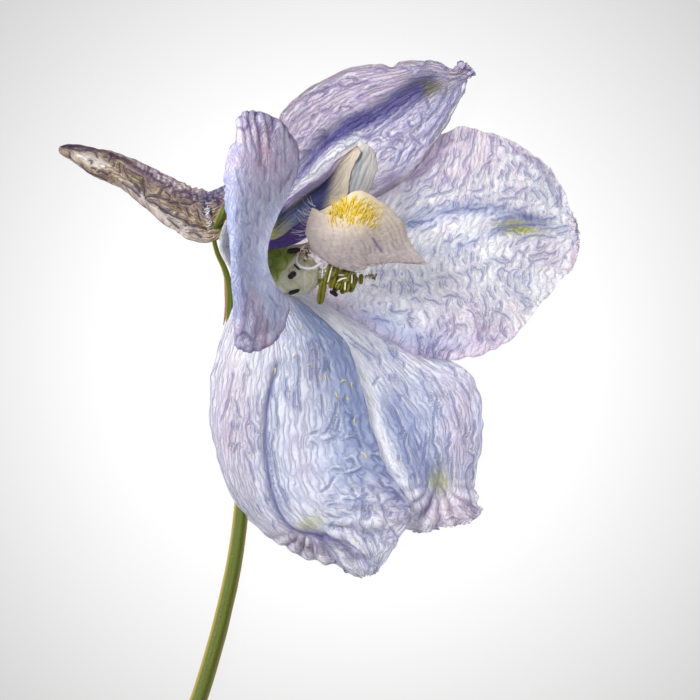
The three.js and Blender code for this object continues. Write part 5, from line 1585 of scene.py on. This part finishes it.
HIDDEN_PETAL = [
    foot_station(PETAL_START, PETAL_RING, 182, 0.5)[::-1],
    [[-3.4, 18.6, 2.9], [-3.2, 18.0, 2.9], [-2.9, 17.4, 2.8]],
    [[0.6, 19.6, 3.6], [0.9, 18.9, 3.5], [1.2, 18.2, 3.3]],
    [[3.4, 21.0, 4.2], [4.0, 19.4, 4.4], [4.4, 17.6, 4.0]],
    [[6.2, 21.2, 4.0], [6.4, 19.2, 4.6], [6.2, 17.0, 3.9]],
    [[8.6, 20.2, 3.6], [8.4, 18.6, 4.2], [8.0, 17.0, 3.6]],
    [[9.6, 18.8, 3.4], [9.4, 18.0, 3.6], [9.0, 17.2, 3.4]],
]


TIP_ROWS = 7  # the rows that say which way a petal's tip points


def petal(name, stations, size, tone, material, node, vein=0.03, wash=None, frill=0.0):
    """One petal. tone(x, y, u, v) and wash(x, y, u, v) give its colour fields; vein is the height of its
    veins and frill how far its tip is frayed, in mm."""
    grid, u, v = sheet(stations, *size)
    tip = grid[-1] - grid[-TIP_ROWS]
    tip /= np.linalg.norm(tip, axis=-1, keepdims=True)
    frills = frill * (noise(v * 7, 0.5 + 0 * v, 211) - 0.4 * np.abs(noise(v * 19, 0.7 + 0 * v, 213)))
    grid = grid + tip * (frills * ramp(u, 0.9, 1.0))[..., None]
    grid = shifted_margin(grid, v, 0.16 * noise(u * 20, np.sign(v) * 3.3, 5) * ramp(u, 0.3, 0.5))
    x, y = grid[..., 0], grid[..., 1]
    veins = np.cos(v * 50 + 4 * noise(u * 5, v * 2, 191)) * ramp(u, 0.2, 0.5)
    bulges = 0.08 * noise(u * 9, v * 4, 193) + 0.05 * np.abs(v) ** 4 * noise(u * 30, v, 195)
    grid = grid - sheet_normals(grid) * (vein * veins + bulges)[..., None]
    fields = {"tone": np.clip(tone(x, y, u, v) - 0.02 * veins, 0, 1), "sheet": np.stack([x, y, 0 * x], -1)}
    if wash:
        fields["wash"] = np.clip(wash(x, y, u, v), 0, 1)
    finish_piece(slab(name, grid, fields, PETAL_THICK, -1), material, node)
    return grid


def blue_tone(x, y, u, v):
    reach = ((x + 6) * 0.69 + (y - 19.5) * 0.72) / 14.5
    flap = ramp(-v, 0.46, 0.58) * ramp(u, 0.22, 0.4)
    fold = np.exp(-((v + 0.46) / 0.06) ** 2) * ramp(u, 0.2, 0.4)
    # the body is painted lighter away from the flap, so that it is darker near the flap, as the flap's shadow
    body = 0.02 + 0.5 * reach + 0.15 * ramp(v, 0.0, 0.9) * ramp(reach, 0.3, 0.7)
    return body * (1 - flap) + 0.9 * flap - 0.25 * fold


def cream_ridge(x, y, u, v):
    edge = np.interp(y, [22.5, 25.0, 27.6, 29.6, 30.7], [1.0, 1.8, 2.2, 3.0, 4.0])
    return 0.9 * np.maximum(ramp(x - edge, -1.3, 0.4) * ramp(u, 0.36, 0.55), ramp(u, 0.8, 0.92))


def tongue_tone(x, y, u, v):
    ridge = near_line(x, y, [(2.5, 23.2), (3.2, 26), (3.9, 28.3), (4.9, 30.2)], 0.35)
    # the valley beside the ridge and a soft patch on the tongue's left part are painted darker, as shadow
    valley = near_line(x, y, [(3.5, 23.8), (4.0, 26), (4.6, 28), (5.2, 29.6)], 0.4)
    margin = ramp(np.abs(v), 0.88, 1.0)
    return 0.5 + 0.3 * ridge - 0.25 * valley + 0.4 * margin - 0.15 * blob(x, y, (4.6, 26.6), (1, 1.6))


def bearded_tone(x, y, u, v):
    bearing = np.arctan2(y - 26.5, x - 3.2)
    veins = 1 - ramp(np.abs(np.sin(21 * bearing + 1.2 * noise(x * 0.5, y * 0.5, 197))), 0.0, 0.5)
    grey = 0.05 * ramp(23 - y, 2.5, 6.5)
    dash = near_line(x, y, [(6.3, 19.4), (6.8, 18.6), (7.3, 17.8)], 0.14)
    dash = dash + 0.5 * near_line(x, y, [(8.4, 18.9), (9.2, 18.0)], 0.12)
    glow = 0.36 * blob(x, y, (4.0, 22.9), (3.4, 1.9), -15)
    claw = 1 - ramp(u, 0.2, 0.3)
    return 0.5 - 0.5 * claw + glow - 0.3 * dash - 0.07 * veins * ramp(23 - y, 0, 2) - grey


def even_tone(x, y, u, v):
    return 0.5 + 0 * u


def make_petals():
    blue = ramp_material("blue_petal", [
        (0, 104, 102, 30), (0.07, 88, 86, 62), (0.13, 64, 70, 96), (0.28, 44, 48, 98), (0.5, 66, 72, 112),
        (0.75, 140, 132, 172), (1, 212, 200, 226),
    ], 0.4, scale=(1.5, 5, 1), wash=(190, 178, 160))
    pale = ramp_material("pale_petal", [
        (0, 126, 132, 142), (0.3, 148, 150, 152), (0.6, 174, 168, 162), (1, 206, 192, 154),
    ], 0.4, scale=(0.8, 1.2, 1), bump=0.03)
    cream = ramp_material("cream_petal", [
        (0, 96, 70, 140), (0.25, 146, 130, 158), (0.5, 200, 188, 178), (0.75, 218, 204, 166),
        (1, 228, 208, 110),
    ], 0.5, scale=(2.0, 3.0, 1), bump=0.12)
    petal("upper_blue_petal", UPPER_PETAL_NEAR, (120, 80), blue_tone, blue, "upper_petal_near",
          wash=cream_ridge)
    petal("upper_pale_petal", UPPER_PETAL_FAR, (90, 60), tongue_tone, pale, "upper_petal_far",
          vein=0.006)
    lip = petal("bearded_petal", BEARDED_PETAL, (130, 110), bearded_tone, cream,
                "lower_petal_near", vein=0.02, frill=0.6)
    petal("hidden_bearded_petal", HIDDEN_PETAL, (60, 40), even_tone, cream, "lower_petal_far")
    make_hairs(lip)


# ---------------------------------------------------------------- hairs
BEARD_HAIRS = 300
CLAW_HAIRS = 34
CLAW_LINE = [[-1.5, 18.9, 9.3], [-1.7, 20.2, 9.6], [-1.2, 21.8, 10.0], [-0.5, 23.2, 10.3]]
MOUTH_HAIRS = 60
MOUTH_LINE = [[-13.0, 23.6, 5.6], [-13.2, 22.4, 5.9], [-12.9, 21.2, 5.2], [-12.6, 20.2, 4.6]]
STALK_HAIRS = 150
HAIRY_STALK = STALK[3:13]


def fanned_hairs(chance, line, count, bearing, sweep, reach, rise, bow):
    """Paths of hairs that stand on a line and point to one side. The bearing and the first two of bow are
    given as a mean and a deviation; the reach, the rise and the last of bow as a range."""
    s = chance.uniform(0, 1, count)
    foot = catmull(line, s)
    turn = np.radians(chance.normal(*bearing, count) - sweep * (s - 0.5))
    length = chance.uniform(*reach, count)
    tip = foot + np.stack([length * np.cos(turn), length * np.sin(turn), chance.uniform(*rise, count)], -1)
    over, back, up = bow
    bend = [chance.normal(*over, count), chance.normal(*back, count), chance.uniform(*up, count)]
    return curved_hairs(foot, tip, np.stack(bend, -1))


def beard_hairs(chance, lip):
    """Paths of the hairs on the upper part of the lip, spread like a fan."""
    flat = lip.reshape(-1, 3)
    x, y = flat[:, 0], flat[:, 1]
    core = blob(x, y, (3.9, 22.7), (2.4, 1.5), -14)
    fringe = blob(x, y, (3.9, 21.6), (3.2, 1.9), -16) * ramp(y, 19.4, 20.4)
    top = ramp(24.3 - 0.3 * np.abs(x - 4) - y, 0, 0.5) * ramp(7.4 - x, 0, 1.4)
    weight = (np.clip(0.6 * core + 0.6 * fringe, 0, 1) * ramp(x, 0.9, 1.7) * top).clip(1e-9)
    count = BEARD_HAIRS
    foot = flat[chance.choice(len(flat), count, replace=False, p=weight / weight.sum())]
    fan = 0.1 + 0.2 * (foot[:, 0] - 3.6)
    lean = [chance.normal(fan, 0.07), chance.uniform(0.8, 1.0, count), chance.uniform(0.05, 0.2, count)]
    reach = chance.uniform(0.7, 1.4, count)[:, None]
    bend = [chance.normal(0, 0.08, count), np.zeros(count), chance.uniform(0.08, 0.2, count)]
    return curved_hairs(foot, foot + np.stack(lean, -1) * reach, np.stack(bend, -1))


def stalk_hairs(chance):
    """Paths of the short hairs that stand out from both sides of the cut stalk."""
    count = STALK_HAIRS
    s = chance.uniform(0, 1, count)
    centre = catmull([r[0] for r in HAIRY_STALK], s)
    half = catmull([[r[1]] for r in HAIRY_STALK], s)
    side = chance.choice([-1, 1], count)[:, None]
    foot = centre + np.array([0.94, -0.1, 0.2]) * side * half
    reach = chance.uniform(0.2, 0.55, count)[:, None]
    way = [chance.uniform(0.7, 1, count), chance.normal(-0.4, 0.4, count), chance.normal(0.1, 0.3, count)]
    return curved_hairs(foot, foot + side * reach * np.stack(way, -1), np.zeros((count, 3)))


def make_hairs(lip):
    """The yellow beard, the white hairs along the lip's claw, at the spur's mouth and on the stalk."""
    chance = np.random.default_rng(7)
    # the beard hairs go from deep gold at their feet to pale yellow at their tips; the darker gold at their
    # feet is painted shade among the hairs
    yellow = ramp_material("beard_hair", [(0, 200, 160, 0), (0.5, 234, 204, 8), (1, 246, 228, 70)], 0.3,
                           scale=(1, 1, 1))
    white = ramp_material("white_hair", [(0, 206, 200, 206), (1, 250, 250, 250)], 0.3, scale=(1, 1, 1))
    strands("beard", beard_hairs(chance, lip), 0.045, yellow, "lower_petal_near")
    claw = fanned_hairs(chance, CLAW_LINE, CLAW_HAIRS, (160, 16), 40, (0.8, 2.0), (-0.3, 0.5),
                        ((-0.05, 0.1), (-0.18, 0.12), (0, 0.3)))
    strands("claw_hairs", claw, 0.03, white, "lower_petal_near")
    mouth = fanned_hairs(chance, MOUTH_LINE, MOUTH_HAIRS, (190, 30), 0, (0.35, 0.9), (0, 0.4),
                         ((0, 0.08), (0, 0.08), (0, 0.2)))
    strands("spur_mouth_hairs", mouth, 0.03, white, "stem")
    strands("stalk_hairs", stalk_hairs(chance), 0.022, white, "stem")


# ---------------------------------------------------------------- stamens and carpels
# The middle line of the stamens, the dome's half widths along it, and the anthers.
BUNDLE = [[-8.3, 18.65, 4.93], [-5.6, 17.0, 5.1], [-2.9, 15.3, 5.3], [0.6, 14.9, 5.9], [4.4, 15.2, 6.3]]
DOME = [(0.0, 0.85), (0.16, 1.25), (0.32, 2.25), (0.44, 2.75), (0.54, 2.6), (0.64, 1.9), (0.7, 1.1)]
RIPE = [  # anthers with pollen: the two ends and the half width
    [[-0.02, 11.5, 5.9], [0.45, 14.4, 6.7], 0.48],
    [[0.75, 13.9, 6.8], [1.25, 16.3, 7.3], 0.4],
    [[1.25, 13.4, 6.9], [2.1, 16.2, 7.4], 0.42],
    [[2.45, 14.5, 6.6], [3.0, 15.7, 6.9], 0.28],
    [[2.3, 13.2, 6.4], [2.85, 14.8, 6.8], 0.36],
    [[3.1, 12.9, 6.5], [3.55, 15.2, 6.9], 0.42],
    [[3.9, 13.4, 6.4], [4.15, 15.5, 6.7], 0.3],
    [[4.85, 13.9, 6.1], [4.98, 15.1, 6.4], 0.29],
]
SPENT = [
    [[-3.9, 17.85, 7.0], [-2.2, 17.95, 7.4], 0.34],
    [[-3.75, 14.6, 8.0], [-2.9, 15.3, 8.2], 0.34],
    [[-3.75, 12.75, 6.8], [-2.45, 13.2, 7.2], 0.27],
    [[1.2, 13.1, 5.6], [2.1, 12.5, 5.4], 0.28],
    [[-3.1, 16.25, 8.1], [-2.4, 15.55, 8.3], 0.13],
]
HIDDEN_ANTHERS = 9
CURLED_FILAMENT = [
    (-2.55, 17.5, 8.0), (-2.75, 16.7, 8.3), (-2.4, 16.05, 8.4), (-1.6, 15.75, 8.5), (-0.7, 15.85, 8.4),
    (0.2, 16.45, 8.0),
]
LOOSE_FILAMENTS = [
    [(0.55, 16.4, 7.4), (0.35, 15.6, 7.5), (0.25, 14.6, 7.2)],
    [(1.5, 16.1, 7.9), (1.25, 15.2, 7.9), (0.95, 14.1, 7.6)],
    [(1.9, 14.4, 6.0), (1.6, 13.7, 6.0), (1.35, 13.15, 5.9)],
    [(2.1, 14.2, 7.4), (2.6, 14.5, 7.6), (3.2, 14.6, 7.5)],
    [(3.75, 15.4, 7.3), (3.85, 14.7, 7.4), (3.8, 14.0, 7.2)],
    [(3.0, 14.8, 7.2), (3.05, 14.0, 7.3), (3.0, 13.2, 7.0)],
]
CRUMB_HEAPS = [  # middle, half widths and number of the crumbs
    ((-1.7, 17.5, 7.9), (0.75, 0.6), 34),
    ((6.2, 14.8, 6.4), (0.4, 0.28), 22),
]
CARPEL = [  # place along the bundle, distance from its middle and half width
    (0.27, 0.3, 0.42), (0.45, 0.42, 0.52), (0.7, 0.45, 0.5), (0.92, 0.35, 0.34), (1.0, 0.4, 0.2),
]


ANTHER = [(0, 0.35), (0.06, 0.7), (0.2, 0.98), (0.5, 1.0), (0.8, 0.95), (0.94, 0.65), (1, 0.3)]


def anther(low, high, half):
    """A two-lobed anther between its two ends, with a groove along its upper side."""
    low = np.asarray(low)
    high = np.asarray(high)

    def lobed(t, a):
        return 1 - 0.3 * np.exp(-((a - 1.45) / 0.3) ** 2) + 0.04 * noise(t * 12, 2 * a, 211)

    return rod([[low + (high - low) * s, half * w] for s, w in ANTHER], 20, 24, lobed)


def along_bundle(s):
    return catmull(BUNDLE, np.array([s]))[0]


def hidden_anthers():
    """The ripe anthers behind the ones that show, spread round the bundle."""
    hidden = []
    for i in range(HIDDEN_ANTHERS):
        bearing = math.radians(150 + i * 200 / (HIDDEN_ANTHERS - 1))
        reach = 1.2 + 2.6 * ((i * 0.382) % 1)
        up = 5.7 + 1.8 * math.cos(bearing + 0.1)
        middle = np.array([0.4 + reach, 15.3 + 1.6 * math.sin(bearing + 0.4), up])
        half = np.array([0.4, 1.0, 0.2 * math.sin(3 * i)])
        half = half / np.linalg.norm(half) * 1.05
        hidden.append([middle - half, middle + half, 0.4])
    return hidden


def make_stamens():
    flesh = ramp_material("stamen_dome", [
        (0, 84, 106, 4), (0.3, 142, 152, 60), (0.55, 202, 202, 150), (1, 244, 238, 222),
    ], 0.35, (0.25, 0.4), (3, 3, 1))
    make_dome(flesh)
    ripe = RIPE + hidden_anthers()
    make_anthers(ripe)
    make_filaments(ripe)
    make_crumbs()
    make_carpels(flesh)


def make_dome(flesh):
    """The pale boss of broad filament feet, which overlap like scales."""
    def scales(t, a):
        """How far a point is behind the round edge of its scale."""
        row = (t - 0.2) * 7
        around = (a / (2 * np.pi) * 8 + 0.5 * np.floor(row)) % 1 - 0.5
        return (row % 1) - 0.75 + 2.4 * around**2

    def swell(t, a):
        return 1 + 0.05 * np.tanh(-6 * scales(t, a)) * ramp(t, 0.2, 0.35) + 0.03 * noise(t * 9, 2 * a, 221)

    def fields(t, a, points):
        rim = np.exp(-(scales(t, a) / 0.09) ** 2)
        tone = 0.12 + 0.75 * ramp(t, 0.3, 0.6) - 0.22 * rim + 0.12 * noise(t * 7, a * 1.5, 231)
        return {"tone": np.clip(tone, 0, 1)}

    rings = [[along_bundle(s), r] for s, r in DOME]
    finish_piece(tube("stamen_dome", rings, 96, 110, swell, fields), flesh, "stamens")


def make_anthers(ripe):
    olive = ramp_material("ripe_anther", [
        (0, 34, 34, 6), (0.4, 104, 100, 8), (0.75, 140, 132, 22), (1, 170, 160, 60),
    ], 0.1, (0.45, 0.6), (6, 6, 1))
    black = ramp_material("spent_anther", [(0, 14, 10, 12), (1, 34, 26, 30)], 0.0, (0.3, 0.5), (6, 6, 1))

    def painted_groove_shade(t, a, points):
        # painted shade: the tone is darker in the groove on top and along one side
        shade = 0.6 * np.exp(-((a - 1.45) / 0.22) ** 2) + 0.35 * np.exp(-((np.abs(a - 3.4)) / 0.5) ** 2)
        return {"tone": np.clip(0.62 - shade + 0.2 * noise(t * 8, a * 2, 241), 0, 1)}

    for name, anthers, material in (("ripe_anthers", ripe, olive), ("spent_anthers", SPENT, black)):
        finish_piece(rods(name, [anther(*a) for a in anthers], painted_groove_shade), material, "stamens")


def make_filaments(ripe):
    """The threads from the bundle to the ripe anthers, the curled one and the loose ends."""
    white = ramp_material("filament", [(0, 214, 210, 190), (1, 246, 244, 246)], 0.35, (0.25, 0.4), (3, 3, 1))
    threads = []
    for low, high, half in ripe:
        middle = (np.asarray(low) + np.asarray(high)) / 2
        foot = along_bundle(min(max((middle[0] + 7) / 12, 0.3), 0.6))
        out = middle - foot
        out = out / np.linalg.norm(out) * 1.7
        knee = (foot + out + middle) / 2 + np.array([0, 0, 0.3])
        threads.append(rod([[foot + out, 0.2], [knee, 0.15], [middle - (0, 0, 0.25), 0.1]], 10, 14))
    threads.append(rod([[p, 0.15] for p in CURLED_FILAMENT], 12, 40))
    for line in LOOSE_FILAMENTS:
        threads.append(rod([[p, 0.09] for p in line], 8, 14))

    def pale_end(t, a, points):
        return {"tone": ramp(t, 0.0, 0.5)}

    finish_piece(rods("filaments", threads, pale_end), white, "stamens")


def make_crumbs():
    """The withered crumbs that lie on the stamens in two heaps."""
    chance = np.random.default_rng(11)
    husk = ramp_material("withered_crumbs", [
        (0, 30, 20, 18), (0.45, 120, 96, 70), (0.6, 220, 202, 176), (1, 240, 228, 208),
    ], 0.1, (0.5, 0.7), (3, 3, 1), bump=0.02)

    def lumpy(t, a):
        return 1 + 0.35 * noise(t * 5, a * 3, 251)

    crumbs = []
    for middle, half, count in CRUMB_HEAPS:
        for _ in range(count):
            at = np.array(middle) + (
                chance.normal(0, half[0] / 1.6), chance.normal(0, half[1] / 1.6), chance.normal(0, 0.2))
            step = chance.normal(0, 0.16, 3)
            rings = [[at - step, 0.05], [at, chance.uniform(0.09, 0.17)], [at + step, 0.05]]
            crumbs.append(rod(rings, 6, 4, lumpy))
    shade = np.repeat(chance.uniform(0, 1, len(crumbs)), len(crumbs[0][0]))

    def one_shade_each(t, a, points):
        return {"tone": shade}

    finish_piece(rods("withered_crumbs", crumbs, one_shade_each), husk, "stamens")


def make_carpels(flesh):
    follicles = []
    for bearing in (90, 210, 330):
        a = math.radians(bearing)
        rings = [[along_bundle(s) + (0.2 * r * math.cos(a), r * math.cos(a), r * math.sin(a)), w]
                 for s, r, w in CARPEL]
        follicles.append(rod(rings, 16, 30))

    def paler_tip(t, a, points):
        return {"tone": 0.35 + 0.3 * t}

    finish_piece(rods("carpels", follicles, paler_tip), flesh, "carpels")


# ---------------------------------------------------------------- the table, the lights and the camera
def make_stage():
    """A big table that glows evenly round the flower and is a little darker further out."""
    corners = TABLE_HALF * np.array([[-1, -1, 0], [1, -1, 0], [1, 1, 0], [-1, 1, 0]])
    mesh = bpy.data.meshes.new("table_top")
    mesh.from_pydata((corners * MM).tolist(), [], [(0, 1, 2, 3)])
    top = bpy.data.objects.new("table_top", mesh)
    bpy.context.scene.collection.objects.link(top)
    material, tree = new_material("glowing_table")
    place = add(tree, "ShaderNodeNewGeometry").outputs["Position"]
    middle = tuple(VIEW_CENTRE * (MM, MM, 0))
    offset = add(tree, "ShaderNodeVectorMath", {0: place, 1: middle}, operation="SUBTRACT")
    length = add(tree, "ShaderNodeVectorMath", {0: offset.outputs[0]}, operation="LENGTH")
    fall = spread(tree, length.outputs["Value"], GLOW_START * MM, GLOW_END * MM)
    glow = blend(tree, fall, (0.985, 0.985, 0.985, 1.0), srgb(210, 210, 210))
    light = add(tree, "ShaderNodeEmission", {"Color": glow, "Strength": 1.0})
    dull = add(tree, "ShaderNodeBsdfDiffuse", {"Color": (0.012, 0.012, 0.012, 1.0)})
    both = add(tree, "ShaderNodeAddShader", {0: light.outputs[0], 1: dull.outputs[0]})
    add(tree, "ShaderNodeOutputMaterial", {"Surface": both.outputs[0]})
    top.data.materials.append(material)


def area_light(name, place, size, power):
    light = bpy.data.lights.new(name, "AREA")
    light.shape = "DISK"
    light.size = size * MM
    light.energy = power
    lamp = bpy.data.objects.new(name, light)
    lamp.location = np.asarray(place) * MM
    aim = np.asarray(place, float) - VIEW_CENTRE
    lamp.rotation_euler = Vector(aim).to_track_quat("Z", "Y").to_euler()
    bpy.context.scene.collection.objects.link(lamp)


def make_lights():
    """A pale room and one broad soft light from the upper left."""
    world = bpy.data.worlds.new("pale_room")
    world.use_nodes = True
    background = world.node_tree.nodes["Background"].inputs
    background["Color"].default_value = (0.9, 0.92, 1.0, 1.0)
    background["Strength"].default_value = 0.58
    bpy.context.scene.world = world
    area_light("soft_key", (-330, 300, 480), 280, 9.0)
    bpy.context.scene.view_settings.view_transform = "Standard"


def make_camera():
    """Straight above the middle of the picture and far away, so that the view is nearly parallel."""
    camera = bpy.data.cameras.new("camera")
    camera.lens = LENS
    camera.sensor_width = SENSOR
    camera.clip_end = 10.0
    eye = bpy.data.objects.new("camera", camera)
    eye.location = (VIEW_CENTRE + (0, 0, VIEW_WIDTH * LENS / SENSOR)) * MM
    bpy.context.scene.collection.objects.link(eye)
    bpy.context.scene.camera = eye


make_camera()
make_stage()
make_lights()
make_sepals()
make_spur()
make_stalk()
make_petals()
make_stamens()
